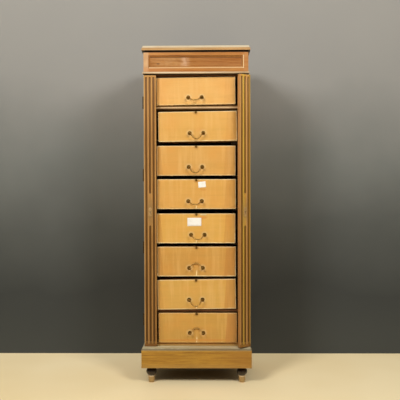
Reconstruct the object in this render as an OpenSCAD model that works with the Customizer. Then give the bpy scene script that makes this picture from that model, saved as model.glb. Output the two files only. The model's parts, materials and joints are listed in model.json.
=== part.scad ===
// Cabinet of eight drop-front boxes behind two fluted, hinged locking stiles.
// Millimetres. +Z is up, the front faces -Y, and the origin is on the floor under the middle.

/* [Carcass] */
// Width of the body, across the two side panels
body_w = 510; // [460:10:700]
// Depth of the body behind the stiles
body_d = 350; // [300:10:450]
// Thickness of the side panels
side_t = 20; // [15:1:24]
// Thickness of the back panel
back_t = 8; // [5:1:12]
// Distance of the back panel from the rear edges of the side panels
back_inset = 2; // [1:1:8]
// Thickness of the bottom board
bottom_t = 14.5; // [12:0.5:28]
// Thickness of the board over the boxes
head_t = 17.5; // [12:0.5:24]
// Thickness of the board under the cornice
top_t = 6; // [5:0.5:14]
// Thickness of the posts behind the stiles
post_t = 20; // [15:1:28]
// Width of the posts, between the side panels and the boxes
post_w = 31; // [20:1:32]
// Height of the front rail under the lowest box
rail_h = 4.5; // [3:0.5:5]
// Thickness of the fixed shelf under the top box
upper_shelf_t = 15.5; // [8:0.5:20]
// Thickness of the fixed shelf under the seventh box
lower_shelf_t = 11; // [6:0.5:12]

/* [Feet and plinth] */
// Height of the turned feet
foot_h = 80; // [60:1:100]
// Diameter of the bun of a foot
bun_dia = 52; // [44:1:64]
// Height of the bun
bun_h = 37; // [28:1:42]
// Diameter of the lower part of a foot
toe_dia = 33; // [26:1:40]
// How much narrower the lower part of a foot is at the floor
toe_taper = 4; // [2:0.5:6]
// Height of the ring over the lower part of a foot
foot_ring_h = 4; // [3:0.5:6]
// Height of the seat on top of a foot
foot_seat_h = 4; // [2:0.5:6]
// Distance from the plinth's edges to the middle of a foot
foot_inset = 45; // [34:1:60]
// Height of the plinth's boards
plinth_h = 86.5; // [60:0.5:120]
// Thickness of the plinth's boards
plinth_t = 40; // [38:1:60]
// How far the plinth stands out at the sides
plinth_side = 13; // [8:1:20]
// How far the plinth stands out in front of the stiles
plinth_front = 28; // [26:1:40]
// Height of the sloping moulding on the plinth
ledge_h = 10.5; // [8:0.5:20]
// Height of the upright edge under the slope
ledge_lip = 2.5; // [1.5:0.5:6]

/* [Frieze and cornice] */
// Height of the frieze
frieze_h = 96; // [80:1:140]
// Width of the frieze frame's upright members
frieze_end_w = 25.5; // [16:0.5:40]
// Width of the frieze frame's upper rail
frieze_top_w = 17; // [10:1:24]
// Width of the frieze frame's lower rail
frieze_bottom_w = 21.5; // [14:0.5:30]
// Width of the bevel round the frieze panel
frieze_bevel = 6.5; // [4:0.5:9]
// Depth of the frieze panel behind the frame's face
frieze_recess = 8; // [4:0.5:11]
// Thickness of the frieze panel
frieze_panel_t = 8; // [5:0.5:9]
// Width of the rebate that holds the frieze panel
frieze_rebate = 5; // [3:0.5:6]
// How far the bead under the frieze stands out
bead_out = 5.5; // [5:0.5:10]
// Height of the bead
bead_h = 11; // [9:0.5:14]
// Height of the cornice
cornice_h = 25.5; // [22:0.5:36]
// Height of the cornice's lower, square edge
cornice_fillet = 12; // [8:1:15]
// Radius of the quarter round on top of the cornice
cornice_round = 9; // [5:0.5:10]
// How far the cornice stands out
cornice_out = 9; // [8:1:24]
// How far the neck under the cornice is set back
neck_inset = 5; // [2:0.5:10]

/* [Stiles] */
// Width of a hinged stile
stile_w = 60; // [50:1:70]
// Thickness of a hinged stile
stile_t = 20; // [18:0.5:26]
// Gap between a shut stile and the carcass
stile_back_gap = 1.6; // [1.5:0.1:2.5]
// Gap between a stile and the plinth's moulding
stile_foot_gap = 2; // [1.5:0.5:5]
// Gap between a stile and the bead over it
stile_head_gap = 5.5; // [2:0.5:10]
// Number of flutes on a stile
flute_count = 3; // [1:1:3]
// Distance between two flutes
flute_pitch = 17.9; // [13:0.1:18.5]
// Radius of a flute
flute_r = 5.4; // [3.5:0.1:6]
// Depth of a flute
flute_depth = 4; // [2:0.1:5]
// Plain length at the head of a stile
flute_margin = 8; // [4:1:30]
// Plain length at the foot of a stile
flute_foot = 21; // [4:1:40]
// How far over the keyhole the middle flute breaks off
break_over = 88; // [40:1:140]
// How far under the keyhole it goes on
break_under = 66; // [40:1:140]
// How far the right stile stands open
right_ajar = 27; // [0:1:28]
// Height of the lock above the foot of the stile
lock_height = 660; // [400:1:900]
// Width of the lock case
lock_w = 34; // [24:1:40]
// Height of the lock case
lock_h = 58; // [50:1:80]
// Depth of the lock case
lock_d = 11; // [10:0.5:11.5]
// Width of the escutcheon
escutcheon_w = 15; // [12:0.5:20]
// Height of the escutcheon
escutcheon_h = 45; // [36:1:56]
// Thickness of the escutcheon
escutcheon_t = 1.4; // [0.8:0.1:2]
// Diameter of the round part of the keyhole
keyhole_dia = 5; // [4:0.5:7]
// Width of the lock bolt
bolt_w = 6; // [4:0.5:10]
// Height of the lock bolt
bolt_h = 20; // [12:1:30]
// Distance from the lock bolt up to the top of the lock case
bolt_margin = 3; // [2:0.5:6]
// Travel of the lock bolt
bolt_travel = 7; // [4:0.5:9]

/* [Stile hinges] */
// Number of hinges on a stile, even, so that none meets the lock
hinge_count = 4; // [2:2:4]
// Height of a hinge
hinge_h = 60; // [40:1:80]
// Width of a hinge leaf in the joint
leaf_w = 20; // [12:1:26]
// Thickness of a hinge leaf
leaf_t = 1.2; // [0.8:0.1:1.6]
// Radius of the hinge knuckles
knuckle_r = 3.5; // [2.8:0.1:3.8]
// Radius of the hinge pins
pin_r = 1.5; // [1.2:0.1:2]
// Distance from the body's side to the middle of a hinge pin
pin_out = 4; // [4:0.1:4.8]
// Distance from the end of a stile to the middle of its outer hinges
hinge_end = 130; // [80:5:220]

/* [Boxes] */
// Number of boxes
box_count = 8; // [8:1:8]
// Width of a box's drop front
flap_w = 387; // [340:1:390]
// Height of a box's drop front
flap_h = 146; // [120:1:150]
// Thickness of a box's drop front
flap_t = 10; // [8:0.5:12]
// Height from one box to the next
box_pitch = 164.5; // [163:0.1:190]
// How much higher than the pitch gives each box stands, from the top
box_lift = [17.4, 3.3, 2.1, 2.3, -2, -1.1, -1.3, 0];
// How much lower the top box's drop front is than the others
top_box_less = 11; // [0:1:20]
// Gap between the top box and the board over it
box_head_gap = 1.5; // [1.5:0.5:8]
// Depth of a box behind its drop front
box_d = 324; // [220:1:325]
// Thickness of a box's walls
box_wall = 6; // [4:0.5:9]
// How much narrower than its drop front a box is, on each side
box_side_step = 1; // [0.5:0.5:4]
// How much lower than its drop front a box is
box_top_step = 2; // [1:0.5:8]
// Depth of the drop fronts behind the stiles' back faces
front_setback = 1.5; // [1:0.5:6]
// Gap between a drop front and the box behind it
flap_gap = 0.5; // [0.4:0.1:1]
// Radius of the edges of a drop front
flap_edge_r = 1.5; // [0.5:0.5:3]
// Sideways place of each box, from the top
box_shift = [0.5, 8, -0.1, 1.2, -1.3, 0.7, 1.9, 5.5];
// Tilt of each box on its runners, from the top, right side up
box_tilt = [0.8, 0.75, 0, 0, 0, 0, 0.8, 0];

/* [Runners] */
// Thickness of a runner
runner_t = 8; // [6:0.5:8.5]
// How far a runner reaches under a box
runner_reach = 28; // [20:1:40]
// Height of the guide that keeps a box from the side
guide_h = 16; // [8:1:30]
// Thickness of the guide
guide_t = 10; // [6:1:20]
// Gap between the guides and the posts' inner edges
guide_back = 0.5; // [0.3:0.1:2]

/* [Box fittings] */
// Distance between the two posts of a pull
pull_pitch = 66; // [50:1:90]
// Height of the posts above the foot of the drop front
pull_z = 42; // [36:1:60]
// How far each pull stands from the middle of its drop front, from the top
pull_shift = [-5.5, -5.5, -3.5, -7.4, 8.5, -3.2, -4.7, -5.5];
// How much higher each pull stands, from the top
pull_lift = [-6, -2, 0, -3.4, -0.5, -0.3, 4.5, 6.4];
// Distance from the drop front's face to the pivot of the bail
pivot_out = 19; // [17:0.5:21]
// Diameter of a post's rosette
rosette_dia = 20; // [14:0.5:24]
// Thickness of a post's rosette
rosette_t = 2.5; // [1.5:0.1:4]
// Diameter of a post's neck
neck_dia = 8; // [6:0.5:10]
// Diameter of a post's head
head_dia = 11; // [9:0.5:13]
// Length of the straight ends of the bail
bail_leg = 3; // [0:0.5:6]
// Radius of the bail's wire at its ends
wire_r = 2.2; // [1.6:0.1:2.6]
// Radius of the bail's wire in the middle
grip_r = 2.8; // [2:0.1:3.2]
// Radius of the bail's pivots
pivot_r = 1.8; // [1.4:0.1:2.2]
// How far each bail hangs or stands out from straight down, from the top
bail_turn = [50, 0, 0, 58, 45, 213, 0, 213];
// Diameter of the catch knob
knob_dia = 11; // [8:0.5:12]
// How far the catch knob stands out
knob_out = 6.5; // [4:0.5:7]
// How far the catch knob stands over the drop front's top edge
knob_over = 1.5; // [0:0.1:2]
// Radius of the flap hinges' knuckles
flap_knuckle_r = 2.2; // [1.8:0.1:2.6]
// Radius of the flap hinges' pins
flap_pin_r = 1.1; // [0.8:0.1:1.4]
// Length of a flap hinge
flap_hinge_w = 36; // [24:1:60]
// Distance from the middle of a box to its flap hinges
flap_hinge_x = 120; // [60:1:160]
// Height of a flap hinge's leaf on the drop front
flap_leaf_h = 14; // [8:1:24]
// Thickness of a flap hinge's leaves
flap_leaf_t = 1; // [0.6:0.1:1.4]

/* [Fits] */
// Gap under a box that stands on its runners or shelf
seat_gap = 0.3; // [0.2:0.05:0.4]
// Radial clearance of a pin in its knuckle or bore
pin_clear = 0.05; // [0.03:0.01:0.09]
// Gap between the ends of two knuckles
knuckle_gap = 0.3; // [0.2:0.05:0.5]
// Gap round a sliding bolt
bolt_clear = 0.3; // [0.2:0.05:0.5]

/* [Hidden] */
$fn = 64;
BIG = 6000; // over twice as long as anything it cuts
EPS = 0.01; // lets a cut run past a face
ARC_STEPS = 12; // flats on a moulding's round

plinth_z = foot_h;
ledge_z = plinth_z + plinth_h;
floor_z = ledge_z + ledge_h; // the sides and the bottom board stand here
first_z = floor_z + bottom_t + seat_gap; // foot of the lowest box

// foot of box i, where 1 is the top box
function box_z(i) = first_z + (box_count - i) * box_pitch + box_lift[i - 1];

// height of the drop front of box i
function front_h(i) = flap_h - (i == 1 ? top_box_less : 0);

head_z = box_z(1) + front_h(1) + ceil(10 * flap_w * sin(box_tilt[0])) / 10 + box_head_gap; // in tenths
frieze_z = head_z + head_t;
neck_z = frieze_z + frieze_h;
cornice_z = neck_z + top_t;

inner_w = body_w - 2 * side_t;
way_w = inner_w - 2 * post_w; // between the posts
front_y = -stile_t - stile_back_gap; // face of the shut stiles and the frieze
plinth_y = front_y - plinth_front;
mid_y = (plinth_y + body_d) / 2;
back_y = body_d - back_inset - back_t; // front of the back panel
flap_y = front_setback; // face of the drop fronts
joint_y = flap_y + flap_t; // inner face of the drop fronts and the axis of their hinges
runner_y = post_t;
shelf_y = joint_y + flap_knuckle_r + 2 * knuckle_gap; // clear of the flap hinges

stile_z = floor_z + stile_foot_gap;
bead_z = frieze_z - bead_h;
stile_h = bead_z - stile_head_gap - stile_z;
pin_x = body_w / 2 + pin_out;
pin_y = -stile_back_gap / 2;
lock_z = stile_z + lock_height; // middle of the lock and its keyhole
bolt_z = lock_z + (lock_h - bolt_h) / 2 - bolt_margin; // the bolt is clear of the key

bail_r = (pull_pitch - head_dia) / 2; // outside of the bail, which just clears the posts' heads

wood = "#b9783f";
old_wood = "#c98a55";
box_wood = "#e3ab60";
pale_wood = "#d8bd8c";
brass = "#8a6a2f";
steel = "#7d776c";

// ---- helpers ----

// puts the construction, whose y is 0 at the posts' faces, over the middle of the floor
module placed() {
    translate([0, -mid_y, 0])
        children();
}

// a box given by its low and high corners
module block(low, high) {
    translate(low)
        cube(high - low);
}

// points of an arc
function arc(centre, radius, from, to) = [
    for (k = [0 : ARC_STEPS])
        let (a = from + (to - from) * k / ARC_STEPS)
            centre + radius * [cos(a), sin(a)]
];

// a moulding with mitred corners round the front and both sides of the body
// outline lists (how far out, height) from its lower to its upper end
module wrapped(outline) {
    half = body_w / 2;
    last = len(outline) - 1;
    intersection() {
        translate([-BIG / 2, 0, 0])
            rotate([90, 0, 90])
                linear_extrude(BIG)
                    polygon([
                        for (p = outline) [front_y - p[0], p[1]],
                        [body_d, outline[last][1]],
                        [body_d, outline[0][1]],
                    ]);
        translate([0, body_d, 0])
            rotate([90, 0, 0])
                linear_extrude(BIG)
                    polygon([
                        for (p = outline) [half + p[0], p[1]],
                        for (k = [0 : last]) [-half - outline[last - k][0], outline[last - k][1]],
                    ]);
    }
}

// what a stile's parts need to stand at the hinge of either side, turned open by an angle
module at_stile(side, turn) {
    translate([side * pin_x, pin_y, 0])
        rotate([0, 0, side * turn])
            translate([-side * pin_x, -pin_y, 0])
                children();
}

// a board across the inside, notched round the posts from a given height up
module shelf(low, high, back, notch_from) {
    difference() {
        block([-inner_w / 2, shelf_y, low], [inner_w / 2, back, high]);
        for (side = [-1, 1])
            translate([side * (inner_w - post_w) / 2, post_t / 2 + EPS / 2, notch_from + BIG / 2])
                cube([post_w + EPS, post_t + EPS, BIG], center = true);
    }
}

// heights of the middles of a stile's hinges
function hinge_heights() = [
    for (k = [0 : hinge_count - 1])
        stile_z + hinge_end + k * (stile_h - 2 * hinge_end) / (hinge_count - 1)
];

// pockets for hinge leaves, in front of or behind the joint
module leaf_pocket(side, behind) {
    y = behind ? -EPS : -stile_back_gap - leaf_t;
    for (z = hinge_heights())
        translate([side * (body_w / 2 - leaf_w / 2), y + leaf_t / 2, z])
            cube([leaf_w + 2 * EPS, leaf_t + 2 * EPS, hinge_h], center = true);
}

// ---- carcass ----

module side_panel(side) {
    low = side > 0 ? body_w / 2 - side_t : -body_w / 2;
    color(old_wood)
        placed()
            difference() {
                block([low, 0, floor_z], [low + side_t, body_d, neck_z]);
                leaf_pocket(side, true);
            }
}

module back_panel() {
    color(pale_wood)
        placed()
            block([-inner_w / 2, back_y, floor_z + bottom_t], [inner_w / 2, back_y + back_t, neck_z]);
}

module head_board() {
    color(old_wood)
        placed()
            block([-inner_w / 2, 0, head_z], [inner_w / 2, back_y, frieze_z]);
}

module bottom_board() {
    color(old_wood)
        placed()
            shelf(floor_z, floor_z + bottom_t, body_d - back_inset, floor_z + rail_h);
}

module bottom_rail() {
    color(old_wood)
        placed()
            block([-inner_w / 2, 0, floor_z], [inner_w / 2, shelf_y, floor_z + rail_h]);
}

module fixed_shelf(i, thickness) {
    top = box_z(i) - seat_gap;
    shelf(top - thickness, top, back_y, top - thickness);
}

module fixed_shelves() {
    color(pale_wood)
        placed() {
            fixed_shelf(1, upper_shelf_t);
            fixed_shelf(box_count - 1, lower_shelf_t);
        }
}

// an L of runner and guide, against the side panel
module runner(side, i) {
    reach = way_w / 2 - runner_reach;
    guide_x = way_w / 2 + guide_back;
    top = box_z(i) - seat_gap;
    scale([side, 1, 1])
        translate([0, back_y, 0])
            rotate([90, 0, 0])
                linear_extrude(back_y - runner_y)
                    polygon([
                        [reach, top - runner_t], [inner_w / 2, top - runner_t],
                        [inner_w / 2, top], [guide_x + guide_t, top],
                        [guide_x + guide_t, top + guide_h], [guide_x, top + guide_h],
                        [guide_x, top], [reach, top],
                    ]);
}

module box_runners() {
    color(pale_wood)
        placed()
            for (i = [2 : box_count - 2])
                for (side = [-1, 1])
                    runner(side, i);
}

module front_posts() {
    color(old_wood)
        placed()
            for (side = [-1, 1])
                difference() {
                    translate([side * (inner_w - post_w) / 2, post_t / 2, (floor_z + rail_h + head_z) / 2])
                        cube([post_w, post_t, head_z - floor_z - rail_h], center = true);
                    // mortise for the lock's bolt
                    translate([side * (body_w - stile_w) / 2, 0, bolt_z])
                        cube([
                            bolt_w + 4 * bolt_clear,
                            2 * (bolt_travel + 3 * bolt_clear),
                            bolt_h + 4 * bolt_clear,
                        ], center = true);
                    leaf_pocket(side, true);
                }
}

module top_board() {
    half = body_w / 2 - neck_inset;
    color(old_wood)
        placed()
            block([-half, front_y + neck_inset, neck_z], [half, body_d - neck_inset, cornice_z]);
}

// ---- frieze, bead and cornice ----

// opening of the frieze frame, as a sloping funnel from the face back to the panel
module frieze_opening() {
    wide = body_w - 2 * frieze_end_w;
    low = frieze_z + frieze_bottom_w;
    high = neck_z - frieze_top_w;
    face = front_y - EPS;
    panel = front_y + frieze_recess;
    intersection() {
        translate([0, 0, -BIG / 2])
            linear_extrude(BIG)
                polygon([
                    [-wide / 2, face], [wide / 2, face],
                    [wide / 2 - frieze_bevel, panel], [wide / 2 - frieze_bevel, 1],
                    [-wide / 2 + frieze_bevel, 1], [-wide / 2 + frieze_bevel, panel],
                ]);
        translate([-BIG / 2, 0, 0])
            rotate([90, 0, 90])
                linear_extrude(BIG)
                    polygon([
                        [face, low], [panel, low + frieze_bevel], [1, low + frieze_bevel],
                        [1, high - frieze_bevel], [panel, high - frieze_bevel], [face, high],
                    ]);
    }
}

// the panel's place in its rebate, from its face back by a given depth
module frieze_panel_block(depth) {
    half = body_w / 2 - frieze_end_w - frieze_bevel + frieze_rebate;
    low = frieze_z + frieze_bottom_w + frieze_bevel - frieze_rebate;
    high = neck_z - frieze_top_w - frieze_bevel + frieze_rebate;
    y = front_y + frieze_recess;
    block([-half, y, low], [half, y + depth, high]);
}

module frieze_frame() {
    color(wood)
        placed()
            difference() {
                block([-body_w / 2, front_y, frieze_z], [body_w / 2, 0, neck_z]);
                frieze_opening();
                frieze_panel_block(2 * stile_t);
            }
}

module frieze_panel() {
    color(wood)
        placed()
            frieze_panel_block(frieze_panel_t);
}

// half round nose
module bead_moulding() {
    radius = bead_h / 2;
    outline = concat(
        [[0, bead_z]],
        arc([bead_out - radius, bead_z + radius], radius, -90, 90),
        [[0, frieze_z]]
    );
    color(old_wood)
        placed()
            difference() {
                wrapped(outline);
                block([-body_w / 2, 0, 0], [body_w / 2, BIG, BIG]);
            }
}

// square edge with a quarter round over it
module cornice() {
    shoulder_out = cornice_out - cornice_round / 2;
    top_z = cornice_z + cornice_h;
    outline = concat(
        [
            [0, cornice_z], [cornice_out, cornice_z],
            [cornice_out, cornice_z + cornice_fillet], [shoulder_out, cornice_z + cornice_fillet],
        ],
        arc([shoulder_out - cornice_round, top_z - cornice_round], cornice_round, 0, 90),
        [[shoulder_out - cornice_round - 1, top_z]]
    );
    color(pale_wood)
        placed()
            wrapped(outline);
}

// ---- plinth and feet ----

module plinth() {
    half = body_w / 2 + plinth_side;
    color(wood)
        placed()
            difference() {
                block([-half, plinth_y, plinth_z], [half, body_d, ledge_z]);
                block(
                    [-half + plinth_t, plinth_y + plinth_t, 0],
                    [half - plinth_t, body_d - plinth_t, BIG]
                );
            }
}

// a lip and a slope up to the body, steeper at the sides than in front
module plinth_moulding() {
    half = body_w / 2 + plinth_side;
    lip = ledge_z + ledge_lip;
    color(wood)
        placed()
            difference() {
                intersection() {
                    translate([-BIG / 2, 0, 0])
                        rotate([90, 0, 90])
                            linear_extrude(BIG)
                                polygon([
                                    [plinth_y, ledge_z], [body_d, ledge_z], [body_d, floor_z],
                                    [front_y - 1, floor_z], [plinth_y, lip],
                                ]);
                    translate([0, body_d, 0])
                        rotate([90, 0, 0])
                            linear_extrude(BIG)
                                polygon([
                                    [-half, ledge_z], [half, ledge_z], [half, lip],
                                    [body_w / 2 + 1, floor_z], [-body_w / 2 - 1, floor_z], [-half, lip],
                                ]);
                }
                block(
                    [-half + plinth_t, plinth_y + plinth_t + plinth_front, 0],
                    [half - plinth_t, body_d - plinth_t, BIG]
                );
            }
}

// half outline of a turned foot, from the floor up: toe, ring, cove and bun
module foot_outline() {
    toe_r = toe_dia / 2;
    bun_r = bun_dia / 2;
    toe_h = foot_h - bun_h - foot_ring_h;
    bun_z = foot_h - bun_h;
    union() {
        polygon([
            [0, 0], [toe_r - toe_taper, 0], [toe_r - toe_taper / 2, toe_taper / 2],
            [toe_r, toe_h * 0.7], [toe_r - toe_taper / 2, toe_h], [0, toe_h],
        ]);
        translate([0, toe_h])
            square([toe_r + toe_taper / 2, foot_ring_h]);
        translate([0, bun_z])
            square([bun_r - bun_h / 2, bun_h]);
        intersection() {
            translate([bun_r - bun_h / 2, bun_z + bun_h / 2])
                circle(d = bun_h);
            square([bun_r, foot_h]);
        }
        translate([0, foot_h - foot_seat_h])
            square([bun_r - foot_seat_h, foot_seat_h]);
    }
}

module feet() {
    half = body_w / 2 + plinth_side - foot_inset;
    color(old_wood)
        placed()
            for (x = [-half, half])
                for (y = [plinth_y + foot_inset, body_d - foot_inset])
                    translate([x, y, 0])
                        rotate_extrude()
                            foot_outline();
}

// ---- hinged stiles ----

// one hinge's part: a leaf in the joint and its knuckles, on the carcass or on the stile
// the carcass's part holds the pin and the two end knuckles, the stile's the middle one
module hinge_part(side, carcass) {
    third = hinge_h / 3;
    y = carcass ? 0 : -stile_back_gap - leaf_t;
    inner = body_w / 2 - leaf_w;
    tab_from = body_w / 2;
    scale([side, 1, 1])
        difference() {
            union() {
                block([inner, y, -hinge_h / 2], [tab_from, y + leaf_t, hinge_h / 2]);
                if (carcass) {
                    for (end = [-1, 1])
                        knuckle(y, tab_from, end * third, third - knuckle_gap);
                    translate([pin_x, pin_y, 0])
                        cylinder(r = pin_r, h = hinge_h, center = true);
                } else
                    knuckle(y, tab_from, 0, third - knuckle_gap);
            }
            if (!carcass)
                translate([pin_x, pin_y, 0])
                    cylinder(r = pin_r + pin_clear, h = hinge_h, center = true);
        }
}

// a knuckle with the tab that joins it to its leaf
module knuckle(y, from, z, length) {
    translate([pin_x, pin_y, z])
        cylinder(r = knuckle_r, h = length, center = true);
    block([from - 1, y, z - length / 2], [pin_x, y + leaf_t, z + length / 2]);
}

module stile_hinge_plates() {
    color(brass)
        placed()
            for (side = [-1, 1])
                for (z = hinge_heights())
                    translate([0, 0, z])
                        hinge_part(side, true);
}

module stile_hinge_leaves(side, turn) {
    color(brass)
        placed()
            at_stile(side, turn)
                for (z = hinge_heights())
                    translate([0, 0, z])
                        hinge_part(side, false);
}

// a groove between two heights, with round ends, centred on x = 0 on the stile's face
module flute(low, high) {
    length = high - low - 2 * flute_r;
    translate([0, front_y - flute_r + flute_depth, low + flute_r]) {
        cylinder(r = flute_r, h = length);
        sphere(r = flute_r);
        translate([0, 0, length])
            sphere(r = flute_r);
    }
}

// all the flutes of a stile; the middle one breaks off for the keyhole
module flutes() {
    low = stile_z + flute_foot;
    high = stile_z + stile_h - flute_margin;
    middle = (flute_count - 1) / 2;
    for (k = [0 : flute_count - 1])
        translate([(k - middle) * flute_pitch, 0, 0])
            if (k == middle) {
                flute(low, lock_z - break_under);
                flute(lock_z + break_over, high);
            } else
                flute(low, high);
}

// keyhole of a given size, cut through along y
module keyhole(length) {
    rotate([90, 0, 0])
        cylinder(d = keyhole_dia, h = length, center = true);
    translate([0, 0, -keyhole_dia])
        cube([keyhole_dia / 2, length, 2 * keyhole_dia], center = true);
}

module stile(side, turn) {
    mid_x = side * (body_w - stile_w) / 2;
    color(wood)
        placed()
            at_stile(side, turn)
                difference() {
                    translate([mid_x, front_y + stile_t / 2, stile_z + stile_h / 2])
                        cube([stile_w, stile_t, stile_h], center = true);
                    translate([mid_x, 0, 0])
                        flutes();
                    // mortise for the lock, open at the back
                    translate([mid_x, -stile_back_gap, lock_z])
                        cube([lock_w, 2 * lock_d, lock_h], center = true);
                    translate([mid_x, front_y, lock_z])
                        keyhole(2 * stile_t);
                    leaf_pocket(side, false);
                }
}

module lock(side, turn) {
    mid_x = side * (body_w - stile_w) / 2;
    color(steel)
        placed()
            at_stile(side, turn)
                difference() {
                    translate([mid_x, -stile_back_gap - lock_d / 2, lock_z])
                        cube([lock_w, lock_d, lock_h], center = true);
                    // way of the bolt, open at the back
                    translate([mid_x, -stile_back_gap, bolt_z])
                        cube([
                            bolt_w + 2 * bolt_clear,
                            2 * (bolt_travel + 1 + bolt_clear),
                            bolt_h + 2 * bolt_clear,
                        ], center = true);
                    translate([mid_x, -stile_back_gap - lock_d, lock_z])
                        rotate([90, 0, 0])
                            cylinder(d = keyhole_dia, h = 4, center = true);
                }
}

module lock_bolt(side, turn) {
    mid_x = side * (body_w - stile_w) / 2;
    color(brass)
        placed()
            at_stile(side, turn)
                translate([mid_x, -stile_back_gap - (bolt_travel + 1) / 2, bolt_z])
                    cube([bolt_w, bolt_travel + 1, bolt_h], center = true);
}

// upright plate with rounded ends and a keyhole
module escutcheon(side, turn) {
    mid_x = side * (body_w - stile_w) / 2;
    radius = escutcheon_w / 2;
    color(brass)
        placed()
            at_stile(side, turn)
                translate([mid_x, front_y, lock_z])
                    difference() {
                        rotate([90, 0, 0])
                            linear_extrude(escutcheon_t) {
                                square([escutcheon_w, escutcheon_h - escutcheon_w], center = true);
                                for (end = [-1, 1])
                                    translate([0, end * (escutcheon_h / 2 - radius)])
                                        circle(r = radius);
                            }
                        keyhole(4 * escutcheon_t);
                    }
}

// ---- boxes ----

// puts a box's parts, drawn round the middle of the foot of its drop front, in the cabinet
// the box tilts on the lower left corner that stands on its runner
module at_box(i) {
    placed()
        translate([box_shift[i - 1] - flap_w / 2, joint_y, box_z(i)])
            rotate([0, -box_tilt[i - 1], 0])
                translate([flap_w / 2, 0, 0])
                    children();
}

// part of a flap hinge: the box's holds the pin and the middle knuckle
module flap_hinge_part(on_box) {
    third = flap_hinge_w / 3;
    for (side = [-1, 1])
        translate([side * flap_hinge_x, 0, 0])
            difference() {
                union() {
                    if (on_box) {
                        along_x(flap_knuckle_r, third - knuckle_gap);
                        along_x(flap_pin_r, flap_hinge_w);
                        block(
                            [-third / 2 + knuckle_gap / 2, 0, 0],
                            [third / 2 - knuckle_gap / 2, flap_leaf_h, flap_leaf_t]
                        );
                    } else {
                        for (end = [-1, 1])
                            translate([end * third, 0, 0])
                                along_x(flap_knuckle_r, third - knuckle_gap);
                        for (end = [-1, 1])
                            translate([end * third, -flap_leaf_t / 2, flap_leaf_h / 2])
                                cube([third - knuckle_gap, flap_leaf_t, flap_leaf_h], center = true);
                        translate([0, -flap_leaf_t / 2, (flap_leaf_h + flap_knuckle_r + 1) / 2])
                            cube([
                                flap_hinge_w - knuckle_gap,
                                flap_leaf_t,
                                flap_leaf_h - flap_knuckle_r - 1,
                            ], center = true);
                    }
                }
                if (!on_box)
                    along_x(flap_pin_r + pin_clear, 2 * flap_hinge_w);
            }
}

// a cylinder along x, centred
module along_x(radius, length) {
    rotate([0, 90, 0])
        cylinder(r = radius, h = length, center = true);
}

// room for the knuckles and leaves of the flap hinges
module flap_hinge_room(on_box) {
    for (side = [-1, 1])
        translate([side * flap_hinge_x, 0, 0]) {
            along_x(flap_knuckle_r + knuckle_gap, flap_hinge_w + 2 * knuckle_gap);
            if (on_box)
                translate([0, flap_leaf_h / 2, flap_leaf_t / 2])
                    cube([flap_hinge_w / 3 - knuckle_gap, flap_leaf_h, flap_leaf_t + EPS], center = true);
            else
                translate([0, -flap_leaf_t / 2, flap_leaf_h / 2])
                    cube([flap_hinge_w, flap_leaf_t, flap_leaf_h], center = true);
        }
}

// five boards round a hollow that is open at the front
module box_shell(i) {
    half = flap_w / 2 - box_side_step;
    high = front_h(i) - box_top_step;
    color(pale_wood)
        at_box(i) {
            difference() {
                block([-half, flap_gap, 0], [half, flap_gap + box_d, high]);
                block(
                    [-half + box_wall, 0, box_wall],
                    [half - box_wall, flap_gap + box_d - box_wall, high - box_wall]
                );
                flap_hinge_room(true);
            }
            flap_hinge_part(true);
        }
}

// a board with its long edges and ends rounded at the face
module flap(i) {
    radius = flap_edge_r;
    color(box_wood)
        at_box(i)
            difference() {
                intersection() {
                    translate([-flap_w / 2, 0, 0])
                        rotate([90, 0, 90])
                            linear_extrude(flap_w)
                                eased_board(front_h(i), radius);
                    linear_extrude(front_h(i))
                        translate([flap_w / 2, 0])
                            rotate(90)
                                eased_board(flap_w, radius);
                }
                flap_hinge_room(false);
            }
}

// section of a board, from its inner face at 0 to its face at -flap_t, with the face's corners rounded
module eased_board(high, radius) {
    translate([-flap_t + radius, 0])
        square([flap_t - radius, high]);
    translate([-flap_t, radius])
        square([flap_t, high - 2 * radius]);
    for (y = [radius, high - radius])
        translate([-flap_t + radius, y])
            circle(r = radius);
}

// a turned post with a cross bore in its head for the bail's pivot, drawn along -y from the face
module pull_post(i, side) {
    bore_depth = head_dia * 0.6;
    translate([pull_shift[i - 1] + side * pull_pitch / 2, -flap_t, pull_z + pull_lift[i - 1]])
        difference() {
            rotate([90, 0, 0])
                rotate_extrude()
                    post_outline();
            translate([-side * head_dia / 2, -pivot_out, 0])
                along_x(pivot_r + pin_clear, 2 * bore_depth);
        }
}

// half outline of a post, from the drop front's face out: rosette, neck and ball head
module post_outline() {
    edge = rosette_t / 2;
    square([rosette_dia / 2 - edge, rosette_t]);
    translate([rosette_dia / 2 - edge, edge])
        circle(r = edge);
    square([neck_dia / 2 + 1, rosette_t + 1]);
    square([neck_dia / 2, pivot_out]);
    intersection() {
        translate([0, pivot_out])
            circle(d = head_dia);
        square([head_dia, 2 * pivot_out]);
    }
}

// a mushroom knob on the top edge of the drop front, on the cabinet's middle however its box is shifted
module catch_knob(i) {
    edge = 3;
    translate([-box_shift[i - 1], -flap_t, front_h(i) + knob_over - knob_dia / 2])
        rotate([90, 0, 0])
            rotate_extrude() {
                square([knob_dia / 2 - edge, knob_out]);
                translate([knob_dia / 2 - edge, knob_out - edge])
                    intersection() {
                        circle(r = edge);
                        square([edge, edge]);
                    }
                square([knob_dia / 2, knob_out - edge]);
            }
}

module flap_brass(i) {
    color(brass)
        at_box(i) {
            for (side = [-1, 1])
                pull_post(i, side);
            catch_knob(i);
            flap_hinge_part(false);
        }
}

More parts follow.
